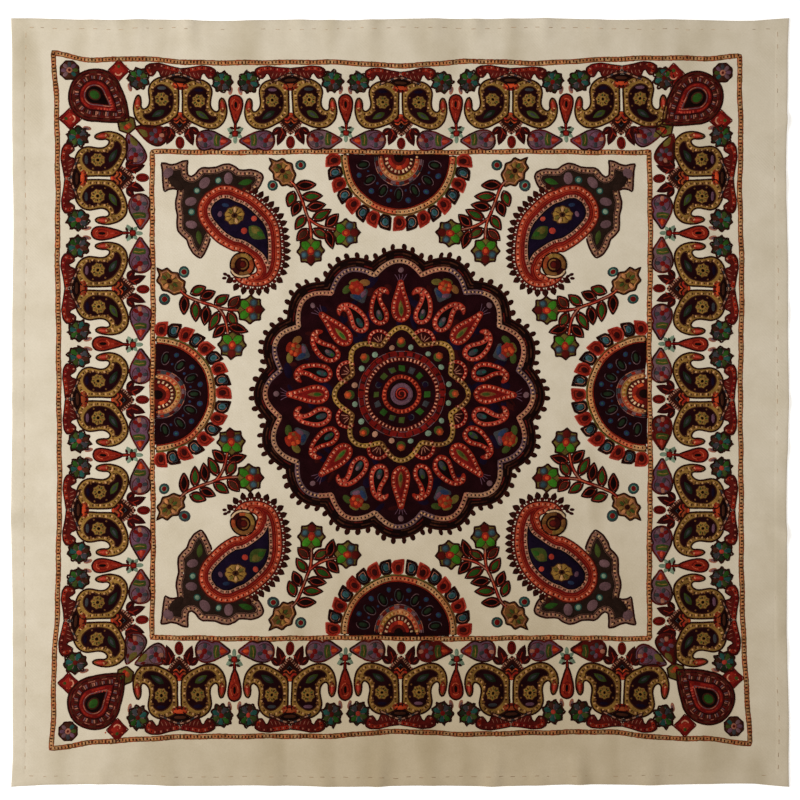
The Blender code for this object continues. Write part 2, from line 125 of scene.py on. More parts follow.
# Wool yarns, as seen in daylight (red, green, blue of 255)
YARNS = {
    "ink": (19, 6, 5),
    "bark": (44, 16, 11),
    "plum": (29, 5, 10),
    "navy": (20, 11, 34),
    "dark_wine": (48, 12, 12),
    "umber": (64, 36, 24),
    "soot": (38, 27, 22),
    "stone": (140, 110, 94),
    "maroon": (82, 21, 17),
    "crimson": (106, 20, 18),
    "brick": (134, 38, 23),
    "red": (142, 37, 28),
    "rose": (166, 60, 48),
    "coral": (178, 72, 58),
    "terracotta": (174, 74, 48),
    "salmon": (188, 90, 62),
    "orange": (190, 76, 40),
    "rust": (142, 70, 38),
    "pink": (206, 148, 122),
    "dusty": (160, 110, 92),
    "taupe": (160, 126, 106),
    "tan": (190, 136, 88),
    "sand": (194, 158, 112),
    "gold": (158, 128, 60),
    "ochre": (140, 113, 56),
    "bronze": (114, 80, 42),
    "olive": (98, 92, 42),
    "moss": (58, 76, 32),
    "pine": (30, 46, 30),
    "green": (42, 86, 30),
    "bright_green": (56, 124, 30),
    "teal": (34, 82, 78),
    "pale_teal": (120, 152, 134),
    "steel": (56, 92, 106),
    "slate": (56, 62, 68),
    "blue": (36, 54, 86),
    "mauve": (98, 72, 92),
    "heather": (106, 84, 92),
    "cream_yarn": (206, 186, 150),
    "hem_thread": (192, 176, 148),
}
YARN_NAMES = list(YARNS)
DAYLIGHT = (1.0, 0.82, 0.73)


def linear(colour, gain=(1.0, 1.0, 1.0)):
    """Screen colour of 255 as light."""
    parts = [c / 255 for c in colour]
    return tuple(min(1.0, g * (p / 12.92 if p <= 0.04045 else ((p + 0.055) / 1.055) ** 2.4))
                 for p, g in zip(parts, gain))


def smooth_table(xs, ys, at):
    """Read a smooth curve through a table, for an array of places."""
    xs = np.asarray(xs, float)
    ys = np.asarray(ys, float)
    at = np.clip(at, xs[0], xs[-1])
    k = np.clip(np.searchsorted(xs, at, side="right") - 1, 0, len(xs) - 2)
    t = (at - xs[k]) / (xs[k + 1] - xs[k])
    before = ys[np.maximum(k - 1, 0)]
    after = ys[np.minimum(k + 2, len(xs) - 1)]
    a, b = ys[k], ys[k + 1]
    return 0.5 * (2 * a + (b - before) * t + (2 * before - 5 * a + 4 * b - after) * t ** 2
                  + (3 * a - before - 3 * b + after) * t ** 3)


def frame_offset(side, along):
    """Distance of the border's frame line from the cloth's middle."""
    return smooth_table(FRAME_ALONG, FRAME_LINE[side], along)


def side_points(side, along, out):
    """Plan points of places along a side, "out" from the cloth's middle."""
    x, y = {"top": (along, out), "bottom": (along, -out),
            "left": (-out, along), "right": (out, along)}[side]
    return np.column_stack((x, y))


def half_span(side):
    """Half of the cloth's size toward a side."""
    return CLOTH_DEPTH / 2 if side in ("top", "bottom") else CLOTH_WIDTH / 2


def edge_wander(side, along):
    """How far the edge strays from straight, inward."""
    w = WANDERS[side]
    u = along / CLOTH_WIDTH
    slow = w.slow * np.sin(2 * pi * w.slow_waves * u + w.phase)
    quick = w.quick * np.sin(2 * pi * w.quick_waves * u + 2 * w.phase)
    return w.slow + w.quick - slow - quick


def lie_of_cloth(x, y):
    """Height of the cloth's underside over the surface: ripples of the margin, and waves."""
    height = np.zeros_like(x)
    places = {"top": (x, y), "bottom": (x, -y), "left": (y, -x), "right": (y, x)}
    for r in RIPPLES:
        along, out = places[r.side]
        inward = np.clip((half_span(r.side) - out) / r.reach, 0.0, 1.0)
        across = np.clip((along - r.at - r.lean * inward) / r.half_width, -1.0, 1.0)
        height += r.height * (1 - inward) ** 1.2 * np.cos(across * pi / 2) ** 2
    for p in PUCKERS:
        height += p.height * (1 + np.sin(2 * pi * (x / p.across + y / p.along) + p.phase))
    for place in (x - FIELD_X, y - FIELD_Y / 2):
        height += STORAGE_CREASE * np.exp(-(place / STORAGE_CREASE_WIDTH) ** 2)
    return height


def hem_depth(x, y):
    """Distance from the nearest edge."""
    return np.minimum(CLOTH_WIDTH / 2 - np.abs(x), CLOTH_DEPTH / 2 - np.abs(y))


def cloth_top(x, y):
    """Height of the cloth's upper face."""
    return lie_of_cloth(x, y) + np.interp(hem_depth(x, y), HEM_DEPTHS, HEM_TOPS)


def hand_stray(points):
    """The slight unevenness of lines drawn and stitched by hand."""
    x, y = points[:, 0], points[:, 1]
    dx = 0.7 * np.sin(2 * pi * (y / 290 + x / 900) + 1.1) + 0.4 * np.sin(2 * pi * (x / 83 - y / 61))
    dy = 0.7 * np.sin(2 * pi * (x / 250 - y / 700) + 0.4) + 0.4 * np.sin(2 * pi * (x / 57 + y / 92))
    return np.column_stack((x + dx, y + dy))


def even(path, step, closed=False):
    """The path with evenly spaced points."""
    path = np.asarray(path, float)
    if closed:
        path = np.vstack((path, path[:1]))
    run = np.concatenate(([0.0], np.cumsum(np.hypot(*np.diff(path, axis=0).T))))
    count = max(3, int(round(run[-1] / step)))
    at = np.linspace(0.0, run[-1], count + 1)
    if closed:
        at = at[:-1]
    return np.column_stack((np.interp(at, run, path[:, 0]), np.interp(at, run, path[:, 1])))


def curve(points, closed=False, parts=8):
    """Smooth path through a few points."""
    p = np.asarray(points, float)
    count = len(p)
    t = np.linspace(0.0, 1.0, parts, endpoint=False)
    out = []
    for k in range(count if closed else count - 1):
        if closed:
            a, b, c, d = p[k - 1], p[k], p[(k + 1) % count], p[(k + 2) % count]
        else:
            a, b, c, d = p[max(k - 1, 0)], p[k], p[k + 1], p[min(k + 2, count - 1)]
        out.append(0.5 * (2 * b + np.outer(t, c - a) + np.outer(t ** 2, 2 * a - 5 * b + 4 * c - d)
                          + np.outer(t ** 3, 3 * b - a - 3 * c + d)))
    if not closed:
        out.append(p[-1:])
    return np.vstack(out)


def directions(path, closed):
    """Unit steps along a path, at each of its points."""
    if closed:
        way = np.roll(path, -1, axis=0) - np.roll(path, 1, axis=0)
    else:
        way = np.gradient(path, axis=0)
    return way / np.maximum(np.hypot(way[:, 0], way[:, 1]), 1e-9)[:, None]


def turn_of(outline):
    """1 if the outline runs counterclockwise, or -1."""
    after = np.roll(outline, -1, axis=0)
    area = (outline[:, 0] * after[:, 1] - after[:, 0] * outline[:, 1]).sum()
    return 1.0 if area > 0 else -1.0


def inset(outline, distance):
    """The closed outline moved inward (or outward, if negative), narrow ends left out."""
    outline = np.asarray(outline, float)
    way = directions(outline, True)
    inward = turn_of(outline) * np.column_stack((-way[:, 1], way[:, 0]))
    moved = outline + inward * distance
    start = outline[None]
    run = np.roll(outline, -1, axis=0)[None] - start
    from_start = moved[:, None] - start
    t = np.clip((from_start * run).sum(2) / np.maximum((run * run).sum(2), 1e-9), 0.0, 1.0)
    away = from_start - t[:, :, None] * run
    nearest = np.hypot(away[:, :, 0], away[:, :, 1]).min(axis=1)
    return moved[nearest > abs(distance) * 0.97]


def oval(centre, a, b, turn=0.0, count=12):
    """Ellipse with its long way turned, in degrees."""
    at = np.linspace(0, 2 * pi, count, endpoint=False)
    x, y = a * np.cos(at), b * np.sin(at)
    c, s = cos(radians(turn)), sin(radians(turn))
    return np.column_stack((centre[0] + c * x - s * y, centre[1] + s * x + c * y))


def spined(stations, parts=6):
    """Outline about a given spine: x, y and half-width at each station."""
    x, y, half = np.asarray(stations, float).T
    line = curve(np.column_stack((x, y)), parts=parts)
    at = np.linspace(0, len(x) - 1, len(line))
    half = np.maximum(smooth_table(range(len(x)), half, at), 0.15)
    way = directions(line, False)
    side = np.column_stack((-way[:, 1], way[:, 0])) * half[:, None]
    return np.vstack((line + side, (line - side)[::-1]))


def teardrop(centre, radius, tip, heading, bulge=0.0, count=14):
    """Outline of a drop: an arc, and two slightly bulging sides that meet at the tip."""
    open_angle = np.arccos(radius / tip)
    arc = np.linspace(open_angle, 2 * pi - open_angle, count)
    t = np.linspace(0.0, 1.0, count // 2 + 1)[1:, None]
    x, y = radius * np.cos(arc), radius * np.sin(arc)
    first, last, point = np.array((x[0], y[0])), np.array((x[-1], y[-1])), np.array((tip, 0.0))
    out = np.array((np.sin(open_angle), np.cos(open_angle))) * bulge
    down = last + t * (point - last) + (out * (1, -1)) * np.sin(pi * t)
    up = point + t[:-1] * (first - point) + out * np.sin(pi * t[:-1])
    shape = np.vstack((np.column_stack((x, y)), down, up))
    c, s = cos(radians(heading)), sin(radians(heading))
    return np.column_stack((centre[0] + c * shape[:, 0] - s * shape[:, 1],
                            centre[1] + s * shape[:, 0] + c * shape[:, 1]))


def leaf(base, tip, half_width, bend=0.0, count=8):
    """Pointed leaf between two places, its middle bent to one side."""
    base, tip = np.asarray(base, float), np.asarray(tip, float)
    run = tip - base
    side = np.array((-run[1], run[0])) / hypot(*run)
    t = np.linspace(0.0, 1.0, count)
    spine = base + t[:, None] * run + side * (bend * np.sin(pi * t))[:, None]
    half = half_width * np.sin(pi * t ** 0.85) ** 0.9
    return np.vstack((spine + side * half[:, None], (spine - side * half[:, None])[-2:0:-1]))


def rosette(centre, radius, points, dip=0.25, turn=90.0):
    """Pointed flower outline."""
    at = np.linspace(0, 2 * pi, points * 6, endpoint=False)
    r = radius * (1 - dip * np.abs(np.sin(points * at / 2)) ** 0.8)
    at = at + radians(turn)
    return np.column_stack((centre[0] + r * np.cos(at), centre[1] + r * np.sin(at)))


def ring(centre, radius, count=64, start=0.0, sweep=360.0):
    """Circle, or an arc of it, in degrees."""
    full = sweep == 360.0
    at = np.radians(start + np.linspace(0, sweep, count, endpoint=not full))
    return np.column_stack((centre[0] + radius * np.cos(at), centre[1] + radius * np.sin(at)))


def around(centre, turn, a, b=None):
    """Place on a circle or an ellipse about a centre, at an angle in degrees."""
    b = a if b is None else b
    return np.array((centre[0] + a * cos(radians(turn)), centre[1] + b * sin(radians(turn))))


def in_quarter(sx, sy, swap=False):
    """Place: from the upper right quarter of the field to any quarter."""
    def place(p):
        x, y = (p[:, 1] + 8.0, p[:, 0] - 4.0) if swap else (p[:, 0], p[:, 1])
        return np.column_stack((FIELD_X + sx * x, FIELD_Y + sy * y))
    return place


def on_spoke(centre, angle, mirror=1):
    """Place: x to the right and y outward along a spoke at this angle (degrees)."""
    out = np.array((cos(radians(angle)), sin(radians(angle))))
    right = np.array((out[1], -out[0]))

    def place(p):
        return np.asarray(centre) + mirror * p[:, :1] * right + p[:, 1:] * out
    return place


def on_band(side, middle, mirror=1):
    """Place: x along the side, y up from the inner frame line to the outer one."""
    def place(p):
        along = middle + mirror * p[:, 0]
        outer = frame_offset(side, along)
        return side_points(side, along, INNER[side] + (outer - INNER[side]) * p[:, 1] / BAND)
    return place


def pick(yarns):
    """One of the yarns named, at random."""
    names = yarns.split()
    return names[RNG.integers(len(names))]


def yarn_numbers(yarns):
    """Places in YARN_NAMES of the yarns named, which are parted by spaces."""
    return np.array([YARN_NAMES.index(name) for name in yarns.split()])


class Piece:
    """One stitched piece: cords, fills, patches and dots gathered into one mesh."""

    def __init__(self, name):
        self.name = name
        self.place = lambda p: p
        self.parts = []
        self.count = 0

    def add(self, xy, lift, uv, tone, faces, yarns):
        """Keep one more shape, at its place on the cloth."""
        self.parts.append((self.place(xy), lift, uv, tone, faces + self.count, yarns))
        self.count += len(xy)

    def rope(self, path, yarns, width, level, rise=CORD_RISE, closed=False, step=2.2,
             shoulder=0.28, stretch=110.0):
        """A cord or a band laid along a path. Several yarns follow each other in stretches."""
        path = even(path, step, closed)
        way = directions(path, closed)
        if closed:
            path = np.vstack((path, path[:1]))
            way = np.vstack((way, way[:1]))
        count = len(path)
        run = np.concatenate(([0.0], np.cumsum(np.hypot(*np.diff(path, axis=0).T))))
        wide = width * (1 + RNG.normal(0, 0.05, count))
        high = rise * (1 + RNG.normal(0, 0.10, count))
        if closed:
            wide[-1], high[-1] = wide[0], high[0]
        else:
            wide[[0, -1]] *= 0.4
            high[[0, -1]] = -SUNK / 2
        side = np.column_stack((-way[:, 1], way[:, 0]))
        across = np.outer(wide, (-0.5, -shoulder, shoulder, 0.5))
        xy = path[:, None] + side[:, None] * across[:, :, None]
        lift = level + np.outer(high, (0, 1, 1, 0)) - np.outer(np.ones(count), (SUNK, 0, 0, SUNK))
        uv = np.stack((run[:, None] + 0.8 * across, across), axis=2)
        tone = np.repeat(1 + RNG.normal(0, 0.05) + RNG.normal(0, 0.13, count), 4)
        base = 4 * np.arange(count - 1)[:, None, None] + np.arange(3)[None, :, None]
        quad = base + np.array((0, 4, 5, 0, 5, 1))
        yarns = yarn_numbers(yarns)
        turns = (run[:-1] / stretch + RNG.uniform(0, len(yarns))).astype(int) % len(yarns)
        self.add(xy.reshape(-1, 2), lift.ravel(), uv.reshape(-1, 2), tone, quad.reshape(-1, 3),
                 np.repeat(yarns[turns], 6))

    def loop(self, path, yarns, width, level, rise=CORD_RISE, **how):
        """A cord or a band along a closed path."""
        self.rope(path, yarns, width, level, rise, True, **how)

    def edged(self, outline, yarn, level, edge, width, edge_level, **how):
        """A stitched area with a cord around it."""
        self.fill(outline, yarn, level)
        self.loop(outline, edge, width, edge_level, **how)

    def fill(self, outline, yarn, level=FILL, grid=6.0):
        """A stitched area, its edge rounded down into the cloth."""
        outline = np.asarray(outline, float)
        inner = inset(outline, FILL_SLOPE)
        points = [outline, inner]
        lift = [np.full(len(outline), level - SUNK - LAYER), np.full(len(inner), level)]
        spots = self.grid_inside(inner, grid)
        points.append(spots)
        lift.append(level + RNG.normal(0, 0.04, len(spots)))
        xy = np.vstack(points)
        lift = np.concatenate(lift)
        n, m = len(outline), len(inner)
        edges = [(i, (i + 1) % n) for i in range(n)]
        edges += [(n + i, n + (i + 1) % m) for i in range(m)]
        found, _, faces, sources, _, _ = delaunay_2d_cdt(
            [Vector(p) for p in xy], edges, [], 1, 1e-3)
        new_xy = np.array([(p.x, p.y) for p in found])
        new_lift = np.array([lift[s[0]] if s else level for s in sources])
        faces = np.array(faces, int).reshape(-1, 3)
        angle = RNG.uniform(0, pi)
        c, s = cos(angle), sin(angle)
        uv = np.column_stack((c * new_xy[:, 0] + s * new_xy[:, 1],
                              c * new_xy[:, 1] - s * new_xy[:, 0]))
        tone = 1 + RNG.normal(0, 0.05) + RNG.normal(0, 0.11, len(new_xy))
        self.add(new_xy, new_lift, uv, tone, faces, np.full(len(faces), YARN_NAMES.index(yarn)))

    @staticmethod
    def grid_inside(outline, spacing):
        """Even grid of places inside an outline, clear of its edge."""
        low, high = outline.min(axis=0), outline.max(axis=0)
        x, y = np.meshgrid(np.arange(low[0], high[0], spacing), np.arange(low[1], high[1], spacing))
        spots = np.column_stack((x.ravel(), y.ravel()))
        keep = np.zeros(len(spots), bool)
        a, b = outline, np.roll(outline, -1, axis=0)
        for (x1, y1), (x2, y2) in zip(a, b):
            if y1 == y2:
                continue
            between = (spots[:, 1] < y1) != (spots[:, 1] < y2)
            keep ^= between & (spots[:, 0] < (x2 - x1) * (spots[:, 1] - y1) / (y2 - y1) + x1)
        spots = spots[keep]
        far = [np.hypot(*(outline - p).T).min() > spacing * 0.5 for p in spots]
        return spots[np.array(far, bool)]

    def patch(self, outline, yarn, level=FILL, dome=0.15, slope=0.8):
        """A small stitched spot, as a low dome."""
        outline = np.asarray(outline, float)
        count = len(outline)
        middle = outline.mean(axis=0)
        arm = outline - middle
        reach = np.hypot(arm[:, 0], arm[:, 1])[:, None]
        inner = middle + arm * np.clip(1 - slope / np.maximum(reach, 1e-6), 0.3, 1.0)
        xy = np.vstack((outline, inner, middle[None]))
        lift = np.concatenate((np.full(count, level - SUNK - LAYER), np.full(count, level),
                               [level + dome]))
        i = np.arange(count)
        j = (i + 1) % count
        faces = np.vstack((np.column_stack((i, j, count + j)), np.column_stack((i, count + j, count + i)),
                           np.column_stack((count + i, count + j, np.full(count, 2 * count)))))
        tone = 1 + RNG.normal(0, 0.08) + RNG.normal(0, 0.09, len(xy))
        self.add(xy, lift, xy.copy(), tone, faces, np.full(len(faces), YARN_NAMES.index(yarn)))

    def bead(self, centre, radius, yarn, level=FILL, count=8):
        """A small round spot."""
        self.patch(oval(centre, radius, radius * RNG.uniform(0.85, 1.1), RNG.uniform(0, 90), count),
                   yarn, level)

    def dots(self, path, yarns, level, pitch, size, closed=True):
        """Small blocks set across a band, at an even pitch; several yarns take turns."""
        path = even(path, pitch, closed)
        way = directions(path, closed)
        side = np.column_stack((-way[:, 1], way[:, 0]))
        count = len(path)
        path = path + RNG.normal(0, 0.22, (count, 2))
        scale = RNG.uniform(0.8, 1.2, (count, 2)) * np.asarray(size) / 2
        corner = np.array(((-1, -1), (1, -1), (1, 1), (-1, 1)))
        rings = []
        for shrink in (1.0, 0.6):
            a = corner[None, :, 0] * scale[:, :1] * shrink
            b = corner[None, :, 1] * scale[:, 1:] * shrink
            rings.append(path[:, None] + way[:, None] * a[:, :, None] + side[:, None] * b[:, :, None])
        xy = np.concatenate(rings, axis=1).reshape(-1, 2)
        lift = np.tile((level - 0.1,) * 4 + (level + DOT_RISE,) * 4, count)
        one = []
        for k in range(4):
            n = (k + 1) % 4
            one += [(k, n, 4 + n), (k, 4 + n, 4 + k)]
        one += [(4, 5, 6), (4, 6, 7)]
        faces = (8 * np.arange(count)[:, None, None] + np.array(one)[None]).reshape(-1, 3)
        tone = np.repeat(1 + RNG.normal(0, 0.14, count), 8)
        yarns = yarn_numbers(yarns)
        self.add(xy, lift, xy.copy(), tone, faces, np.repeat(yarns[np.arange(count) % len(yarns)],
                                                             len(one)))

    def build(self, materials):
        """Make the object: every point lies on the cloth at its own lift."""
        xy = hand_stray(np.vstack([p[0] for p in self.parts]))
        lift = np.concatenate([p[1] for p in self.parts])
        uv = np.vstack([p[2] for p in self.parts])
        tone = np.concatenate([p[3] for p in self.parts])
        faces = np.vstack([p[4] for p in self.parts])
        yarns = np.concatenate([p[5] for p in self.parts])
        a, b, c = (xy[faces[:, k]] for k in range(3))
        area = (b[:, 0] - a[:, 0]) * (c[:, 1] - a[:, 1]) - (c[:, 0] - a[:, 0]) * (b[:, 1] - a[:, 1])
        faces[area < 0] = faces[area < 0][:, ::-1]
        z = cloth_top(xy[:, 0], xy[:, 1]) + lift
        obj = new_object(self.name, np.column_stack((xy, z)) * MM, faces, uv)
        used = np.unique(yarns)
        for k in used:
            obj.data.materials.append(materials[YARN_NAMES[k]])
        obj.data.polygons.foreach_set("material_index", np.searchsorted(used, yarns).astype(np.int32))
        obj.data.attributes.new("tone", "FLOAT", "POINT").data.foreach_set("value", tone)
        return obj


def new_object(name, points, faces, uv):
    """Smooth mesh object from arrays of points and triangles or quads."""
    mesh = bpy.data.meshes.new(name)
    sides = faces.shape[1]
    mesh.vertices.add(len(points))
    mesh.vertices.foreach_set("co", points.astype(np.float32).ravel())
    mesh.loops.add(faces.size)
    mesh.loops.foreach_set("vertex_index", faces.astype(np.int32).ravel())
    mesh.polygons.add(len(faces))
    mesh.polygons.foreach_set("loop_start", np.arange(0, faces.size, sides, dtype=np.int32))
    mesh.polygons.foreach_set("loop_total", np.full(len(faces), sides, np.int32))
    mesh.update(calc_edges=True)
    mesh.uv_layers.new(name="stitch").data.foreach_set("uv", uv[faces.ravel()].astype(np.float32).ravel())
    mesh.shade_smooth()
    obj = bpy.data.objects.new(name, mesh)
    bpy.context.scene.collection.objects.link(obj)
    return obj


def new_material(name):
    """Material with its node tree, its shader and a node maker."""
    material = bpy.data.materials.new(name)
    material.use_nodes = True
    tree = material.node_tree
    shader = tree.nodes["Principled BSDF"]

    def node(kind, inputs=None, **settings):
        made = tree.nodes.new(kind)
        for key, value in settings.items():
            setattr(made, key, value)
        for key, value in (inputs or {}).items():
            if isinstance(value, bpy.types.NodeSocket):
                tree.links.new(value, made.inputs[key])
            else:
                made.inputs[key].default_value = value
        return made
    return material, tree, shader, node


# Painted shade, darker and warmer toward the bottom: its darkest place in metres, how far it reaches, and
# the darkest tints; then the painted shade of the margin folds
SHADE_PLACE = (0.06, -0.56, 0.0)
SHADE_REACH = (0.10, 0.72)
YARN_SHADE_TINT = (0.68, 0.64, 0.6)
CLOTH_SHADE_TINT = (0.72, 0.66, 0.56)
FOLD_SCALE = (19.0, 4.0, 1.0)
FOLD_SHADE = (0.84, 0.82, 0.77)
MARGIN_FROM = (0.40, 0.45)
CLOTH_COLOUR = (214, 203, 182)
CLOTH_GAIN = (1.1, 1.09, 1.09)


def painted_shade_tint(node, place, darkest):
    """Painted shade: a tint that goes from white to the darkest colour toward the bottom of the cloth."""
    away = node("ShaderNodeVectorMath", {0: place, 1: SHADE_PLACE}, operation="DISTANCE")
    falloff = node("ShaderNodeMapRange", {"Value": away.outputs["Value"], "From Min": SHADE_REACH[0],
                                      "From Max": SHADE_REACH[1], "To Min": 0.0, "To Max": 1.0},
               interpolation_type="SMOOTHSTEP")
    tint = node("ShaderNodeValToRGB", {"Fac": falloff.outputs["Result"]})
    tint.color_ramp.elements[0].color = (*darkest, 1)
    tint.color_ramp.elements[1].color = (1, 1, 1, 1)
    return tint.outputs["Color"]


def yarn_material(name, colour):
    """Wool yarn: stitches side by side, fibres and uneven dye; painted shade in the gaps between
    stitches, and painted shade that darkens and warms it toward the bottom.
    """
    material, tree, shader, node = new_material(name)
    light = linear(colour, DAYLIGHT)
    dark = tuple(c * 0.45 for c in light)
    pale = tuple(min(1.0, c * 1.5 + 0.001) for c in light)
    stitch = node("ShaderNodeUVMap", uv_map="stitch")
    place = node("ShaderNodeTexCoord")
    tone = node("ShaderNodeAttribute", attribute_name="tone")
    rows = node("ShaderNodeTexBrick", {"Vector": stitch.outputs["UV"], "Scale": 1.0,
                                       "Mortar Size": 0.14, "Mortar Smooth": 1.0,
                                       "Brick Width": 4.4, "Row Height": 1.05}, offset=0.5)
    fibres = node("ShaderNodeTexNoise", {"Vector": place.outputs["Object"], "Scale": 620.0,
                                         "Detail": 4.0, "Roughness": 0.75})
    dye = node("ShaderNodeTexNoise", {"Vector": place.outputs["Object"], "Scale": 75.0, "Detail": 2.0})
    mottle = node("ShaderNodeMix", {"Factor": 0.35, 2: fibres.outputs["Fac"], 3: dye.outputs["Fac"]})
    ramp = node("ShaderNodeValToRGB", {"Fac": mottle.outputs[0]})
    ramp.color_ramp.elements[0].position = 0.3
    ramp.color_ramp.elements[0].color = (*dark, 1)
    ramp.color_ramp.elements[1].position = 0.7
    ramp.color_ramp.elements[1].color = (*pale, 1)
    # Painted shade in the gaps between stitches: the brick rows' mortar darkens the colour
    between = node("ShaderNodeMath", {0: rows.outputs["Fac"], 1: -0.38, 2: 1.08},
                   operation="MULTIPLY_ADD")
    shade = node("ShaderNodeMath", {0: tone.outputs["Fac"], 1: between.outputs[0]}, operation="MULTIPLY")
    # Painted shade: the yarn darkens and warms toward the bottom of the cloth
    shaded = node("ShaderNodeVectorMath", {0: ramp.outputs["Color"],
                                         1: painted_shade_tint(node, place.outputs["Object"], YARN_SHADE_TINT)},
                operation="MULTIPLY")
    toned = node("ShaderNodeVectorMath", {0: shaded.outputs[0]}, operation="SCALE")
    tree.links.new(shade.outputs[0], toned.inputs["Scale"])
    tree.links.new(toned.outputs[0], shader.inputs["Base Color"])
    height = node("ShaderNodeMath", {0: fibres.outputs["Fac"], 1: rows.outputs["Fac"]},
                  operation="SUBTRACT")
    bump = node("ShaderNodeBump", {"Height": height.outputs[0], "Strength": 0.55, "Distance": 0.0004})
    tree.links.new(bump.outputs[0], shader.inputs["Normal"])
    shader.inputs["Roughness"].default_value = 0.88
    shader.inputs["Specular IOR Level"].default_value = 0.03
    shader.inputs["Sheen Weight"].default_value = 0.004
    shader.inputs["Sheen Roughness"].default_value = 0.5
    return material


def cloth_material():
    """Cream wool twill: fine slanted ribs, slubs and a faint mottle; painted shade that darkens and warms
    it toward the bottom, and painted shade of folds in the top and bottom margins.
    """
    material, tree, shader, node = new_material("cream_wool_twill")
    light = linear(CLOTH_COLOUR, CLOTH_GAIN)
    place = node("ShaderNodeTexCoord")
    mottle = node("ShaderNodeTexNoise", {"Vector": place.outputs["Object"], "Scale": 22.0,
                                         "Detail": 5.0, "Roughness": 0.62})
    slubs = node("ShaderNodeTexNoise", {"Vector": place.outputs["Object"], "Scale": 420.0,
                                        "Detail": 4.0, "Roughness": 0.75})
    both = node("ShaderNodeMix", {"Factor": 0.4, 2: mottle.outputs["Fac"], 3: slubs.outputs["Fac"]})
    ramp = node("ShaderNodeValToRGB", {"Fac": both.outputs[0]})
    ramp.color_ramp.elements[0].position = 0.32
    ramp.color_ramp.elements[0].color = (light[0] * 0.86, light[1] * 0.84, light[2] * 0.79, 1)
    ramp.color_ramp.elements[1].position = 0.66
    ramp.color_ramp.elements[1].color = (light[0] * 1.03, light[1] * 1.03, light[2] * 1.04, 1)
    # Painted shade: the cloth darkens and warms toward the bottom
    shaded_cloth = node("ShaderNodeVectorMath", {0: ramp.outputs["Color"],
                                         1: painted_shade_tint(node, place.outputs["Object"], CLOTH_SHADE_TINT)},
                operation="MULTIPLY")
    # Painted shade of the margin folds: dark streaks of stretched noise in the top and bottom margins,
    # none in the field
    across = node("ShaderNodeMapping", {"Vector": place.outputs["Object"], "Scale": FOLD_SCALE})
    folds = node("ShaderNodeTexNoise", {"Vector": across.outputs["Vector"], "Scale": 1.0, "Detail": 1.0})
    aside = node("ShaderNodeVectorMath", {0: place.outputs["Object"]}, operation="ABSOLUTE")
    axes = node("ShaderNodeSeparateXYZ", {"Vector": aside.outputs[0]})
    field = node("ShaderNodeMapRange", {"Value": axes.outputs["Y"], "From Min": MARGIN_FROM[0],
                                        "From Max": MARGIN_FROM[1], "To Min": 0.12, "To Max": 0.0})
    lifted = node("ShaderNodeMath", {0: folds.outputs["Fac"], 1: field.outputs["Result"]},
                  operation="ADD")
    fold_shade_ramp = node("ShaderNodeValToRGB", {"Fac": lifted.outputs[0]})
    fold_shade_ramp.color_ramp.elements[0].position = 0.34
    fold_shade_ramp.color_ramp.elements[0].color = (*FOLD_SHADE, 1)
    fold_shade_ramp.color_ramp.elements[1].position = 0.53
    fold_shade_ramp.color_ramp.elements[1].color = (1, 1, 1, 1)
    fold_shaded = node("ShaderNodeVectorMath", {0: shaded_cloth.outputs[0], 1: fold_shade_ramp.outputs["Color"]},
                  operation="MULTIPLY")
    tree.links.new(fold_shaded.outputs[0], shader.inputs["Base Color"])
    ribs = node("ShaderNodeTexWave", {"Vector": place.outputs["Object"], "Scale": 150.0,
                                      "Distortion": 0.8, "Detail": 2.0, "Detail Scale": 3.0},
                wave_type="BANDS", bands_direction="DIAGONAL")
    height = node("ShaderNodeMix", {"Factor": 0.45, 2: ribs.outputs["Fac"], 3: slubs.outputs["Fac"]})
    bump = node("ShaderNodeBump", {"Height": height.outputs[0], "Strength": 0.35, "Distance": 0.0003})
    tree.links.new(bump.outputs[0], shader.inputs["Normal"])
    shader.inputs["Roughness"].default_value = 0.92
    shader.inputs["Specular IOR Level"].default_value = 0.2
    shader.inputs["Sheen Weight"].default_value = 0.1
    shader.inputs["Sheen Roughness"].default_value = 0.6
    return material


def sheet_rows(half):
    """Places of the sheet's rows: close together in the hem, even between."""
    hem = np.asarray(HEM_DEPTHS)
    inner = half - hem[-1]
    middle = np.linspace(-inner, inner, int(round(2 * inner / CLOTH_STEP)) + 1)
    return np.concatenate((hem[:-1] - half, middle, (half - hem[:-1])[::-1]))


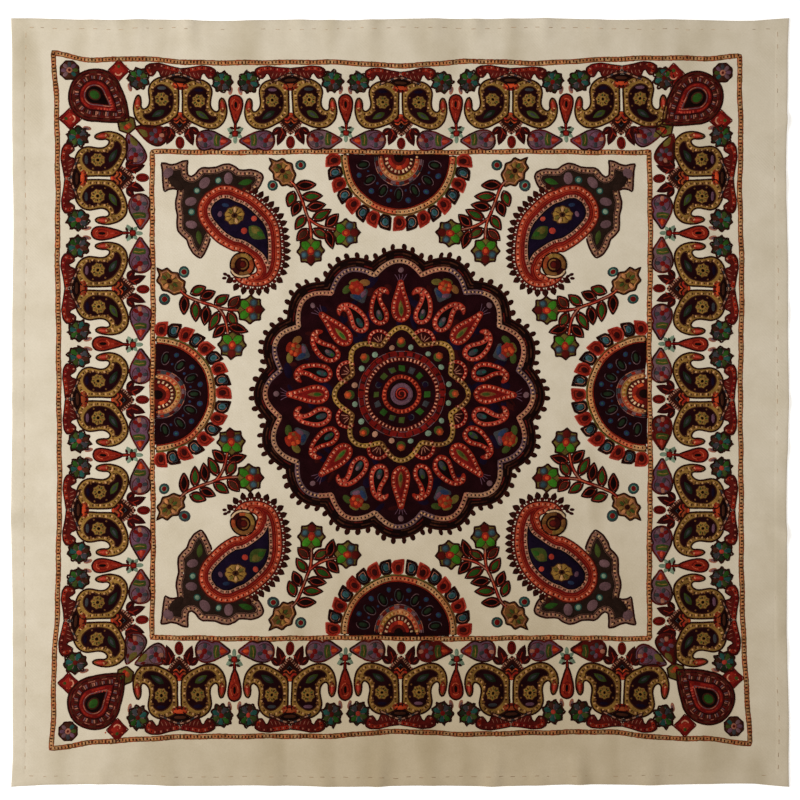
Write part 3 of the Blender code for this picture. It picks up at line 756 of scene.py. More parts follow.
def build_cloth():
    """The wool cloth as a closed sheet, its turned hem thicker than the rest."""
    w, d = CLOTH_WIDTH / 2, CLOTH_DEPTH / 2
    u, v = np.meshgrid(sheet_rows(w), sheet_rows(d), indexing="ij")
    depth = hem_depth(u, v)
    x, y = u.copy(), v.copy()
    for side, sign, along, out, half, crossing in (("top", -1, u, v, d, w), ("bottom", 1, u, -v, d, w),
                                                   ("left", 1, v, -u, w, d), ("right", -1, v, u, w, d)):
        near = np.clip(1 - (half - out) / 60.0, 0, 1)
        corner = np.clip((crossing - np.abs(along)) / 44.0, 0, 1)
        moved = sign * edge_wander(side, along) * near * corner
        if side in ("top", "bottom"):
            y += moved
        else:
            x += moved
    lie = lie_of_cloth(x, y)
    top = lie + np.interp(depth, HEM_DEPTHS, HEM_TOPS)
    under = lie_of_underside(x, y) + np.interp(depth, HEM_DEPTHS, HEM_UNDERS)
    rim = depth < 1e-6
    under[rim] = top[rim]
    columns, rows = u.shape
    top_index = np.arange(columns * rows).reshape(columns, rows)
    under_index = top_index.copy()
    inner = ~rim
    under_index[inner] = columns * rows + np.arange(inner.sum())
    points = np.vstack((np.column_stack((x.ravel(), y.ravel(), top.ravel())),
                        np.column_stack((x[inner], y[inner], under[inner])))) * MM

    def quads(index, flip):
        a, b, c, e = index[:-1, :-1], index[1:, :-1], index[1:, 1:], index[:-1, 1:]
        order = (a, e, c, b) if flip else (a, b, c, e)
        return np.stack(order, axis=2).reshape(-1, 4)

    faces = np.vstack((quads(top_index, False), quads(under_index, True)))
    obj = new_object("tablecloth_wool", points, faces, points[:, :2])
    obj.data.materials.append(cloth_material())
    return obj


def lie_of_underside(x, y):
    """The underside lies on the surface, apart from the ripples of the margin."""
    puckers = sum(p.height * (1 + np.sin(2 * pi * (x / p.across + y / p.along) + p.phase))
                  for p in PUCKERS)
    return lie_of_cloth(x, y) - 0.5 * puckers


def petals(piece, centre, turns, reach, size, yarns, level, rib=()):
    """Oval petals about a centre, their yarns in turn, and a dark rib after each if one is given."""
    names = yarns.split()
    for k, turn in enumerate(turns):
        piece.patch(oval(around(centre, turn, *reach), *size, turn), names[k % len(names)], level)
        for aside, near, far, width, up in rib:
            piece.rope([around(centre, turn + aside, *near), around(centre, turn + aside, *far)],
                       "umber", width, up, 0.3)


# Medallion in the middle of the field
CENTRE = (FIELD_X + 1.0, FIELD_Y)
HUB = (FIELD_X + 3.6, FIELD_Y - 0.5)
LOBES = 16
LOBE_EDGE = (173.0, 13.0)
LOBE_BAND = (155.5, 16.5)
LOBE_DOTS = 96
STAR = (68.0, 18.0)


def lobed(base, swell, waves, power=1.0, count=384, centre=CENTRE):
    """Closed line that bulges in even lobes."""
    at = np.linspace(0, 2 * pi, count, endpoint=False)
    r = base + swell * np.abs(np.cos(waves * at / 2)) ** power
    return np.column_stack((centre[0] + r * np.cos(at), centre[1] + r * np.sin(at)))


def medallion_ground(piece):
    """Dark lobed disc with its round dots, scalloped lines and dotted band."""
    piece.place = lambda p: p
    piece.fill(lobed(*LOBE_EDGE, LOBES), "ink", grid=7.0)
    piece.loop(lobed(*LOBE_EDGE, LOBES), "bark", 2.8, 0.2)
    for depth, yarns in ((4.8, "umber bark ink"), (9.2, "bark maroon ink umber")):
        piece.loop(lobed(LOBE_EDGE[0] - depth, LOBE_EDGE[1], LOBES), yarns, 2.4, FILL, 0.3, stretch=11.0)
    inner = lobed(LOBE_BAND[0] - 3.2, LOBE_BAND[1], LOBES)
    piece.fill(inner, "plum", level=FILL + LAYER, grid=7.0)
    band = lobed(*LOBE_BAND, LOBES)
    piece.loop(band, "taupe heather dusty", 6.4, FILL + LAYER, 0.35, shoulder=0.42, stretch=60.0)
    piece.dots(band, "ink sand", FILL + LAYER + 0.3, 2.5, (2.0, 3.0))
    for k in range(LOBE_DOTS):
        angle = 360 * (k + 0.5) / LOBE_DOTS
        edge = LOBE_EDGE[0] + LOBE_EDGE[1] * abs(cos(radians(angle) * LOBES / 2))
        piece.place = on_spoke(CENTRE, angle + RNG.normal(0, 0.25))
        piece.patch(oval((0, edge + 3.6), 3.7 + RNG.normal(0, 0.2), 4.9, RNG.uniform(-15, 15)), "bark",
                    0.4)
    piece.place = lambda p: p
    for _ in range(90):
        angle, r = RNG.uniform(0, 2 * pi), RNG.uniform(86, 152)
        centre = (FIELD_X + r * cos(angle), FIELD_Y + r * sin(angle))
        piece.patch(oval(centre, RNG.uniform(5, 12), RNG.uniform(3, 7), RNG.uniform(0, 180)),
                    pick("navy dark_wine navy"), FILL + LAYER + 0.04, dome=0.02)


def medallion_motifs(piece):
    """Ring of drops and paisleys, star line, block ring and the spiral in the middle."""
    level = FILL + 2 * LAYER
    for k in range(8):
        angle = 45.0 * k
        piece.place = on_spoke(HUB, angle)
        ring_drop(piece, level)
        piece.bead((0, 160.5), 4.2, "heather", level, 10)
        piece.patch(oval((0, 66.5), 6.4, 6.4), "moss", level)
        piece.patch(oval((0, 69.0), 5.6, 5.4, 20, 6), "rust", level + 0.2)
        piece.bead((0, 69.0), 3.0, "orange", level + 0.4)
        for mirror in (1, -1):
            piece.place = on_spoke(HUB, angle + 15.0 * mirror, mirror)
            ring_paisley(piece, level)
        piece.place = on_spoke(HUB, angle + 22.5)
        lobe_flower(piece, level)
        spoked_loop(piece, level)
        for turn in (-11.25, 11.25):
            piece.place = on_spoke(HUB, angle + turn)
            piece.bead((0, 61.5), 4.2, pick("pale_teal taupe pale_teal"), level, 10)
    piece.place = lambda p: p
    star = lobed(*STAR, 8, 1.5, centre=HUB)
    piece.loop(star, "ochre gold bronze", 6.2, level, 0.35, shoulder=0.42, stretch=26.0)
    piece.dots(star, "bark sand", level + 0.3, 2.7, (2.0, 3.0))
    piece.loop(ring(HUB, 52.2), "dark_wine", 7.0, level, 0.2, shoulder=0.44)
    piece.dots(ring(HUB, 52.2), "crimson", level + 0.2, 10.4, (8.6, 5.6))
    for radius in (55.8, 48.8):
        piece.loop(ring(HUB, radius), "brick heather", 1.3, level, 0.4, stretch=12.0)
    piece.loop(ring(HUB, 45.6), "maroon", 5.8, level, 0.3, shoulder=0.42)
    piece.dots(ring(HUB, 45.6), "pink dark_wine", level + 0.3, 2.5, (2.0, 3.6))
    for k in range(16):
        piece.place = on_spoke(HUB, 22.5 * k)
        bright = k % 2 == 0
        yarn = pick("green moss green") if bright else ("slate", "navy", "moss")[k % 3]
        piece.patch(oval((0, 32.8), 5.8, 6.2, 45, 4) + RNG.normal(0, 0.5, (4, 2)), yarn, level, slope=1.2)
        if not bright:
            piece.rope(ring((0, 32.8), 3.6, 12, 20, 250), "slate", 1.1, level + 0.1, 0.3)
    piece.place = lambda p: p
    piece.loop(ring(HUB, 22.3), "brick", 5.8, level, 0.3, shoulder=0.42)
    piece.dots(ring(HUB, 22.3), "salmon maroon", level + 0.3, 2.5, (2.0, 3.4))
    piece.fill(ring(HUB, 17.5, 28), "ink", level)
    piece.fill(ring(HUB, 14.6, 24), "mauve", level + LAYER)
    piece.loop(ring(HUB, 12.0, 24), "heather", 1.6, level + LAYER, 0.4)
    piece.fill(ring(HUB, 9.2, 18), "dark_wine", level + 2 * LAYER)
    at = np.linspace(0, 3.6 * pi, 40)
    r = 8.4 - 1.75 * at / pi
    spiral = np.column_stack((HUB[0] + r * np.cos(at), HUB[1] + r * np.sin(at)))
    piece.rope(spiral, "rose red brick", 2.0, level + 2 * LAYER, stretch=8.0)


def ring_drop(piece, level):
    """Straight drop with a dotted outline, a red inside and a green heart."""
    outline = spined([(0, 93, 0.0), (0, 94.5, 5.0), (0, 99, 9.6), (0, 107, 11.8), (0, 118, 10.6),
                      (0, 130, 7.2), (0, 140, 4.4), (0, 146, 3.0), (0, 148, 0.6)])
    piece.edged(outline, "red", level, "brick", 1.4, level)
    piece.dots(inset(outline, 2.5), "maroon pink salmon", level, 2.1, (1.8, 2.8))
    piece.fill(inset(outline, 4.6), "crimson", level + LAYER)
    piece.patch(leaf((0, 99), (0, 122), 3.6), pick("olive bronze"), level + 2 * LAYER)
    piece.patch(oval((0, 108), 2.4, 5.6), pick("moss green"), level + 3 * LAYER)
    for x in (-5, -1.6, 1.6, 5):
        piece.rope([(x * 0.5, 146), (x, 151), (x * 1.7, 156)], "mauve", 1.1, level - 0.2, 0.3)


def ring_paisley(piece, level):
    """Small paisley whose tail hooks over to the drop beside it."""
    outline = spined([(0.5, 93.0, 0.0), (0.5, 94.5, 5.2), (0.3, 99, 9.6), (-0.2, 106, 11.8),
                      (-0.5, 114, 11.0), (0.5, 123, 8.4), (3.5, 131, 6.0), (9.5, 135.5, 4.4),
                      (15.5, 133.5, 3.2), (18.5, 128, 1.0)])
    piece.edged(outline, pick("red rose"), level, "brick maroon", 1.3, level - 0.1, stretch=25.0)
    piece.dots(inset(outline, 2.5), "maroon pink salmon", level, 2.2, (1.8, 2.8))
    piece.fill(inset(outline, 5.0), "ink", level + LAYER)
    piece.patch(oval((-0.2, 106.5), 4.0, 7.4), "slate", level + 2 * LAYER)
    piece.patch(oval((0.4, 110), 2.4, 3.4), pick("heather moss teal"), level + 3 * LAYER)
    piece.patch(oval((-0.6, 103), 2.4, 2.6), pick("teal green slate"), level + 3 * LAYER)


def lobe_flower(piece, level):
    """Coloured petals about an orange heart, in every other lobe."""
    skirt = even([(0, 140), (-11.0, 145), (-13, 140), (0, 125.5), (13, 140), (11.0, 145)], 2.4, True)
    piece.fill(skirt, "slate", level)
    piece.patch(oval((-4.0, 137.5), 6.6, 3.8, -35), "blue", level + 0.15)
    piece.patch(oval((5.0, 138.5), 6.0, 3.4, 35), "mauve", level + 0.15)
    piece.patch(oval((-12.5, 151), 7.4, 4.8, 25), pick("moss olive"), level)
    piece.patch(oval((12.5, 151), 7.4, 4.8, -25), pick("moss bronze"), level)
    piece.patch(oval((0, 157), 7.4, 4.0, 0), pick("olive brick"), level)
    piece.patch(rosette((0, 149), 10.6, 7, 0.15, RNG.uniform(0, 50)), "brick", level + 0.25)
    for x, y in ((-5.0, 152), (3.8, 153), (-0.5, 146), (5.4, 147), (-5.4, 146), (0, 151.5)):
        piece.bead((x, y), 3.2, pick("orange red rust orange bronze"), level + 0.5)


def spoked_loop(piece, level):
    """Dotted arch over each valley of the star, with pink spokes in it."""
    arch = curve([(-11.8, 71), (-12.4, 79), (-7, 86.0), (0, 88), (7, 86.0), (12.4, 79), (11.8, 71)])
    piece.patch(oval((0, 77), 9.5, 8.0), "dark_wine", level - 0.15)
    piece.rope(arch, "red rose", 4.8, level, 0.3, shoulder=0.42)
    piece.dots(arch, "maroon pink", level + 0.3, 2.4, (1.8, 2.6), closed=False)
    for x in (-6.0, 0.0, 6.0):
        piece.rope([(x * 0.2, 73), (x, 82)], "dusty", 1.4, level, 0.4)


PETALS = 17
PETAL = [(-6, 76), (-9.3, 82), (-9.0, 87.6), (-5.4, 92.2), (0, 93.2), (6.8, 94.0), (6.2, 86), (5.2, 77),
         (0, 75)]


def half_medallion(piece, side):
    """Half disc on the middle of an inner frame side, ringed with petals."""
    middle = FIELD_X if side in ("top", "bottom") else FIELD_Y
    centre = side_points(side, np.array([middle]), np.array([INNER[side] - 7.0]))[0]
    inward = {"top": -90.0, "bottom": 90.0, "left": 0.0, "right": 180.0}[side]
    facing = on_spoke(centre, inward)

    def arc(radius, reach=92.0, count=40):
        return ring((0, 0), radius, count, 90 - reach, 2 * reach)

    def half_disc(radius, count=40):
        return arc(radius, 91.0 + 180 / radius, count)

    piece.place = facing
    piece.fill(half_disc(74.5, 56), "ink")
    for k in range(PETALS):
        turn = 173.2 * (k / (PETALS - 1) - 0.5)
        piece.place = on_spoke(centre, inward + turn, -1 if turn < -1 else 1)
        petal = even(PETAL, 1.8, True)
        if k % 2:
            piece.edged(petal, "ink", 0.3, "bark", 2.2, 0.25, step=1.8)
            piece.loop(inset(petal, 2.8), "dusty slate", 1.2, 0.35, 0.4, step=1.8, stretch=14)
            piece.patch(oval((-0.9, 84.4), 4.2, 5.2, 0), "steel", 0.6)
            piece.patch(oval((-0.9, 84.0), 2.2, 3.2, 0), "teal", 0.8)
        else:
            piece.edged(petal, "brick", 0.3, "rose red coral", 2.2, 0.3, step=1.8, stretch=14)
            piece.loop(inset(petal, 2.8), "maroon crimson", 1.6, 0.35, 0.4, step=1.8)
            piece.patch(oval((-0.8, 83.0), 4.0, 5.0, 0), "dark_wine", 0.6)
    piece.place = facing
    piece.rope(arc(74.0), "olive bronze", 2.2, FILL)
    piece.rope(arc(69.5), "tan sand salmon sand", 6.2, FILL, 0.35, shoulder=0.42, stretch=34.0)
    piece.dots(arc(69.5), "umber tan", FILL + 0.3, 2.6, (2.1, 3.0), closed=False)
    piece.rope(arc(65.6), "brick", 1.5, FILL)
    piece.fill(half_disc(64.8, 50), "plum", FILL + LAYER)
    level = FILL + 2 * LAYER
    for turn in (-78, -52, -26, 0, 26, 52, 78):
        piece.place = on_spoke(centre, inward + turn)
        piece.fill(oval((0, 47.2), 5.6, 8.8, 0, 20), "ink", level)
        piece.rope(ring((0, 0), 1.0, 18, 70, 300) * (5.4, 8.6) + (0, 47.2), "heather slate", 1.1, level,
                   0.4, stretch=12.0)
        piece.patch(oval((0, 47.2), 3.2, 6.0), "pine", level + LAYER)
    for turn in (-65, -39, -13, 13, 39, 65):
        piece.place = on_spoke(centre, inward + turn)
        piece.bead((0, 56.0), 4.0, "blue", level, 10)
        piece.bead((0, 56.0), 2.2, "teal", level + 0.2)
        piece.bead((0.5, 43.0), 2.2, "blue", level)
    piece.place = lambda p: facing(p * (1.0, 1.15))
    piece.rope(arc(31.2), "heather dusty slate", 1.3, level, 0.4, stretch=7.0)
    piece.rope(arc(28.6), "slate maroon heather brick", 3.8, level, 0.4, stretch=6.0)
    piece.rope(arc(26.2), "dusty", 1.2, level, 0.4)
    piece.rope(arc(22.9), "tan gold salmon", 5.4, level, 0.35, shoulder=0.42, stretch=20.0)
    piece.dots(arc(22.9), "rust sand", level + 0.3, 2.7, (1.9, 2.8), closed=False)
    piece.fill(half_disc(19.8, 24), "maroon", level)
    piece.rope(arc(19.4), "umber", 1.8, level)
    piece.dots(arc(16.2, 84), "cream_yarn", level, 4.6, (2.4, 3.6), closed=False)
    piece.rope(arc(11.6, 90, 20), "orange red brick", 5.4, level, stretch=7)
    piece.patch(half_disc(6.4, 10), "ink", level + LAYER)


BOTEH_SPINE = [(246.5, 258.5, 0.0), (244.4, 256.4, 14.0), (240.1, 252.1, 23.2), (233, 245, 30.6),
               (222, 234.5, 34.6), (210.2, 225.8, 37.0), (196.8, 216.4, 36.4), (183.8, 205.3, 32.8),
               (174.6, 190.4, 26.2), (168.6, 174.6, 18.6), (168.2, 161.5, 14.6), (171.6, 153.0, 12.2),
               (179.0, 147.2, 9.4), (190.0, 145.0, 7.0), (198.5, 145.4, 5.0), (205.5, 148.8, 3.4),
               (212.0, 154.5, 0.4)]
FRINGE_PITCH = 8.6
FRINGE_CLEAR = 52.0


def corner_paisley(piece):
    """Large paisley: dotted band, red stripe, second dotted band and a navy inside."""
    outline = spined(BOTEH_SPINE)
    base = FILL + 0.3
    piece.edged(outline, "terracotta", base, "maroon", 2.2, base - 0.2)
    piece.loop(inset(outline, 5.9), "brick", 1.6, base, 0.3)
    piece.dots(inset(outline, 3.3), "maroon pink salmon", base, 2.5, (2.1, 3.0))
    piece.fill(inset(outline, 6.6), "crimson", base + LAYER)
    piece.loop(inset(outline, 9.2), "brick", 1.6, base + LAYER, 0.3)
    piece.fill(inset(outline, 11.6), "taupe", base + 2 * LAYER)
    piece.dots(inset(outline, 13.8), "maroon pink umber", base + 2 * LAYER, 2.4, (1.9, 2.8))
    piece.fill(inset(outline, 16.4), "navy", base + 3 * LAYER)
    piece.loop(inset(outline, 16.6), "ink", 1.6, base + 3 * LAYER, 0.3)
    heart_of_paisley(piece, base + 4 * LAYER)
    tail_spiral(piece, base)
    line = even(outline[len(outline) // 2:], FRINGE_PITCH / 2)
    way = directions(line, False)
    out = np.column_stack((way[:, 1], -way[:, 0])) * turn_of(outline)
    for k in range(1, len(line) - int(FRINGE_CLEAR / FRINGE_PITCH * 2)):
        lean = way[k] * RNG.normal(0.8, 0.6)
        if k % 2:
            piece.rope([line[k], line[k] + out[k] * 3, line[k] + out[k] * 6], "maroon", 2.4, 0.05, 0.3)
            piece.patch(leaf(line[k] + out[k] * 1.6, line[k] + out[k] * 13.4 + lean, 4.4), "bark", 0.45)
        else:
            piece.patch(oval(line[k] + out[k] * 3.0, 3.2, 2.8, 0, 9), "maroon", 0.4)


def heart_of_paisley(piece, level):
    """Flower, leaf and small blobs in the navy inside."""
    heart = np.array((210.0, 230.0))
    flower = rosette(heart, 14.6, 9, 0.13, 12) + RNG.normal(0, 0.4, (54, 2))
    flower = heart + (flower - heart) * (1.0, 0.86)
    piece.edged(flower, "ochre", level, "umber", 1.3, level - 0.1, rise=0.3)
    petals(piece, heart, range(12, 360, 40), (8.6, 7.2), (4.0, 2.3), "gold olive sand ochre",
           level + 0.25, [(20, (4, 3.4), (11, 9.4), 1.2, level + 0.25)])
    piece.patch(oval(heart, 4.6, 3.8, 0, 10), "umber", level + 0.4)
    piece.bead(heart, 2.6, "ink", level + 0.6)
    piece.patch(leaf((192, 215.5), (169.5, 198.5), 8.6, 1.5), "moss", level)
    piece.patch(leaf((189, 214.5), (176, 206), 5.0, 1.0), "olive", level + 0.2)
    piece.patch(leaf((182, 208), (172, 201.5), 3.6), "green", level + 0.3)
    piece.bead((184.5, 225), 4.1, "coral", level, 10)
    piece.bead((197.5, 210), 4.5, "rose", level, 10)
    piece.patch(oval((222, 243.5), 5.0, 3.0, 10), "blue", level)
    piece.patch(oval((229, 232), 3.4, 4.6, 20), "mauve", level - 0.1)


def tail_spiral(piece, base):
    """Round spiral inside the tail's hook, with the cream slit between the two."""
    x, y = 200.2, 166.0
    piece.fill(ring((x, y), 16.4, 30), "dark_wine", base + LAYER)
    piece.rope(ring((x, y), 16.0, 30, -20, 300), "ink", 1.8, base + LAYER)
    piece.rope(ring((x, y), 12.3, 40, -24, 318), "bronze ochre rust bronze", 5.6, base + LAYER, 0.35,
               shoulder=0.4, stretch=16.0)
    piece.loop(ring((x, y), 8.6, 24), "ink", 1.8, base + LAYER, 0.4)
    piece.rope(ring((x - 0.6, y + 0.4), 6.2, 20, 60, 240), "bronze", 2.6, base + LAYER, 0.4)
    piece.bead((x - 1.0, y), 4.4, "maroon", base + 2 * LAYER, 12)
    slit = curve([(214.5, 159.5), (209.5, 153.2), (201.0, 150.4), (190.5, 152.2)])
    piece.rope(slit, "bark", 6.0, base + LAYER + 0.3, 0.2)
    piece.rope(slit, "cream_yarn", 3.4, base + LAYER + 0.45, 0.3)
    for spot, turn in (((218, 152), 30), ((222.5, 154.5), 20),
                       ((217.5, 146.5), -30), ((223.5, 149.5), 0)):
        piece.patch(oval(spot, 3.6, 2.4, turn, 9), "dark_wine", 0.4)


CREST = [(241, 201.5), (241.8, 197), (245, 189), (249, 181), (253.5, 175), (258, 177), (263.5, 181.5),
         (269, 190), (272, 199), (278, 204), (283, 210), (283.6, 219), (283, 230), (285.5, 240),
         (286, 248), (284, 256), (283, 262.6), (288, 264.2), (294.5, 263.4), (300, 260), (301.2, 267),
         (302, 277), (303, 288), (305, 296.4), (299, 295.8), (292, 293.6), (285, 295), (277.5, 298.8),
         (270, 300.4), (271, 292), (270.4, 281.5), (266, 279.4), (261, 282.4), (256, 289),
         (251.5, 291.6), (244, 291), (234.5, 291.4), (226, 295), (218, 296.2), (210, 293),
         (205, 288.8), (198, 288.4), (190, 289), (182, 286.8), (175.5, 283), (174, 278), (177, 270),
         (181, 264), (188, 260.5)]


def crest(piece):
    """Wings and arrow head over the head of a corner paisley."""
    outline = even(CREST + [(232, 222), (228, 240), (214, 252), (200, 256)], 2.2, True)
    piece.fill(outline, "stone", 0.1)
    piece.rope(even(CREST, 2.0), "bark", 3.0, 0.1)
    piece.dots(inset(outline, 4.3), "umber dusty bark sand", 0.1, 2.6, (2.1, 3.0))
    piece.loop(inset(outline, 7.0), "dark_wine", 1.5, 0.1, 0.3)
    piece.fill(inset(outline, 7.4), "soot", 0.1 + LAYER)
    level = 0.1 + 2 * LAYER
    piece.patch(oval((295, 284), 6.5, 7.5, 40, 12), "heather", level)
    piece.patch(oval((285, 271), 6.0, 12.5, -45, 14), "soot", level + 0.1)
    for spot, a, b, turn in (((218, 277.5), 6.2, 8.2, 0), ((249, 272), 9.0, 6.4, -50),
                             ((266, 247.5), 8.2, 6.0, -8), ((265.5, 218.5), 7.8, 5.6, 10)):
        piece.patch(oval(spot, a, b, turn), "heather", level, dome=0.2)
    for spot in ((231, 275), (258.5, 261.5), (264.8, 234.5)):
        piece.bead(spot, 5.0, "teal", level, 12)
        piece.bead(spot, 3.6, "pale_teal", level + 0.2, 10)
    piece.patch(leaf((187, 275), (206, 270), 4.4), "green", level)
    piece.patch(leaf((257.5, 212), (254.5, 192), 4.2), "moss", level)


SprayLeaf = namedtuple("SprayLeaf", "base tip yarn")
SPRAY_LEAVES = [
    SprayLeaf((132, 267.5), (106, 268), "ink"),
    SprayLeaf((125, 253), (97.5, 253.5), "green"),
    SprayLeaf((118, 239), (93, 242.5), "ink"),
    SprayLeaf((110, 223), (86, 236), "green"),
    SprayLeaf((93, 214), (77, 230.5), "ink"),
    SprayLeaf((110, 211), (89, 200.5), "moss"),
    SprayLeaf((91.5, 212), (83.5, 186.5), "ink"),
    SprayLeaf((134, 260), (141.5, 239.5), "green"),
    SprayLeaf((127.5, 247), (135.5, 227.5), "ink"),
    SprayLeaf((118.5, 229), (131.5, 210.5), "green"),
    SprayLeaf((114.5, 211), (130, 196.5), "umber"),
]
STEM = [(139, 274), (131.5, 266), (126.5, 255), (122, 243), (118, 232), (114, 222), (112.2, 210),
        (111.8, 197)]
BRANCH = [(115.5, 226), (106, 218.5), (97, 214.5), (88, 212.5), (79, 211)]
Bloom = namedtuple("Bloom", "centre radius heading")
BLOOMS = [Bloom((112, 183), 18.4, -92.0), Bloom((66.5, 206.5), 18.4, 176.0)]


def spray(piece):
    """Flower spray: stem and branch with leaves, two blooms and a bud."""
    for one in SPRAY_LEAVES:
        base, tip = np.array(one.base, float), np.array(one.tip, float)
        shape = leaf(base, tip, 6.3, count=11)
        piece.edged(shape, "bark", 0.2, "bark", 2.7, 0.15, step=1.8)
        run = tip - base
        piece.loop(leaf(base + 0.12 * run, tip - 0.1 * run, 4.3, count=10), "rose brick", 1.0, 0.3,
                   0.35, step=1.8, stretch=14.0)
        piece.patch(leaf(base + 0.18 * run, tip - 0.16 * run, 3.7), one.yarn, 0.5)
    for path in (STEM, BRANCH):
        piece.rope(curve(path), "maroon", 5.2, 0.35, 0.3, shoulder=0.36)
        piece.rope(curve(path), "dusty rose salmon", 2.2, 0.55, 0.4, stretch=12.0)
    for one in BLOOMS:
        bloom(piece, one)
    bud(piece)


def bloom(piece, one):
    """Pointed flower: two green, two blue and one dark red petal about an orange heart."""
    outer = rosette(one.centre, one.radius, 8, 0.2, one.heading)
    piece.edged(outer, "olive", 0.3, "bark", 3.0, 0.25, step=1.8)
    for turn, yarn, reach, size in ((0, "maroon", 10.8, 5.6), (62, "slate", 10.0, 5.6),
                                    (-62, "slate", 10.0, 5.6), (138, "bright_green", 9.4, 7.4),
                                    (-138, "bright_green", 9.4, 7.4)):
        spot = around(one.centre, one.heading + turn, reach)
        piece.patch(oval(spot, size + 1.0, 6.4, one.heading + turn), "umber", 0.45)
        piece.patch(oval(spot, size, 5.5, one.heading + turn), yarn, 0.6)
        if yarn == "slate":
            piece.patch(oval(spot, size - 1.8, 3.6, one.heading + turn), "steel", 0.75)
    piece.patch(oval(one.centre, 6.2, 5.0, one.heading), "red", 0.8)
    piece.bead(one.centre, 3.4, "orange", 1.0)


def bud(piece):
    """Cornered bud at the head of the spray, with its two round dots."""
    shape = even([(166, 303), (156.5, 299), (149, 303.2), (144.5, 298), (137.4, 296), (136.2, 289),
                  (131.6, 281.5), (134.4, 274.5), (135.5, 265), (142.5, 268.5), (149.5, 266.5),
                  (153.5, 273), (160.5, 275.5), (161.2, 283.5), (166.8, 289.5), (162.6, 296)], 2.0,
                 True)
    piece.edged(shape, "bronze", 0.3, "bark", 2.8, 0.2)
    piece.loop(inset(shape, 2.7), "dusty tan", 1.4, 0.3, 0.4, stretch=10.0)
    petals(piece, (149.5, 286), range(10, 360, 45), (8.0, 8.2), (4.2, 2.7), "olive moss ochre tan",
           0.55, [(22, (4,), (10,), 1.0, 0.6)])
    piece.bead((149.5, 286.5), 3.6, "bark", 0.75, 10)
    for spot in ((126, 293.5), (161.5, 267.5)):
        piece.bead(spot, 8.1, "slate", 0.3, 12)
        piece.bead(spot, 6.4, "teal", 0.5, 12)
        piece.bead(spot, 4.9, "pale_teal", 0.6, 12)
        piece.bead(spot, 4.3, "crimson", 0.75, 10)


# Outlines of the border's motifs, in the coordinates of on_band
PAIR = [(2.6, 84.5), (2.6, 67.4), (3.2, 51.0), (7.0, 45.4), (13.6, 39.9), (20.3, 36.5), (27.0, 33.4),
        (35.3, 31.2), (43.7, 31.5), (50.4, 34.8), (56.2, 41.6), (58.9, 50.2), (59.3, 57.1), (58.2, 63.9),
        (56.2, 69.1), (53.7, 71.4), (51.0, 68.2), (50.0, 62.2), (50.2, 57.9), (49.0, 54.7), (46.2, 53.3),
        (42.4, 55.4), (39.6, 59.6), (38.8, 65.6), (39.8, 72.5), (40.6, 79.4), (38.4, 86.6), (33.4, 91.8),
        (26.8, 95.0), (20.6, 95.6), (13.8, 94.2), (8.4, 91.6), (4.6, 88.4)]
PAIR_CORE = [(9.0, 69), (9.8, 76), (14.4, 82.4), (21.5, 86.4), (28.5, 85.6), (33.8, 81.2), (35.6, 74),
             (33.8, 66), (33.6, 58.5), (36.4, 51.4), (41.5, 47.6), (47.4, 47.4), (46.2, 42.8),
             (41.0, 39.2), (34.2, 38.6), (26.6, 40.8), (18.8, 45.6), (12.4, 52.4), (9.6, 60.6)]
LOWER_LEAF = [(20.8, 16), (23.4, 24.0), (31.6, 28.6), (42, 27.8), (50, 24.4), (58.2, 20.0), (66, 15.0),
              (58.6, 9.2), (51.6, 4.4), (46, 3.4), (41.4, 5.0), (36.4, 3.0), (28.6, 2.6), (22.6, 8)]
LAST_LEAF = [(57.0, 31.0), (48.0, 33.0), (33.2, 32.2), (20.5, 30.5), (16.2, 22.8), (18.4, 12.5),
             (26.5, 7.0), (36.5, 9.9), (46.5, 17.6), (54.0, 26.0)]


def border_unit(piece, side, middle, ends):
    """One repeat of the border, mirrored about its middle; a corner leaf ends the row."""
    for mirror in (1, -1):
        piece.place = on_band(side, middle, mirror)
        pair_paisley(piece)
        bracket_half(piece)
        joint_flower(piece)
        lower_leaf(piece, mirror in ends)
    piece.place = on_band(side, middle)
    piece.patch(oval((0, 86.5), 11.5, 6.0, 0, 16), "brick", FILL + 0.1)
    piece.patch(oval((0, 87.2), 8.6, 3.0, 0, 12), pick("orange rust"), FILL + 0.35)
    piece.rope(curve([(-5.5, 81.0), (-2.5, 83.0), (0, 83.4), (2.5, 83.0), (5.5, 81.0)]), "dark_wine",
               2.2, FILL + 0.1, 0.4)
    piece.patch(oval((0, 94.2), 13.5, 5.2, 0, 16), "ink", FILL + 0.15)
    piece.patch(oval((0, 94.4), 8.6, 2.4, 0, 12), "umber", FILL + 0.4)
    arch = curve([(-27, 91.5), (-18, 95.4), (-9, 99.6), (0, 101.6), (9, 99.6), (18, 95.4), (27, 91.5)])
    piece.rope(arch, "bark", 4.6, FILL + 0.1, 0.3, shoulder=0.4)
    piece.rope(arch, "slate taupe umber taupe", 2.4, FILL + 0.25, 0.4, stretch=4.6)
    centre_hanging(piece)


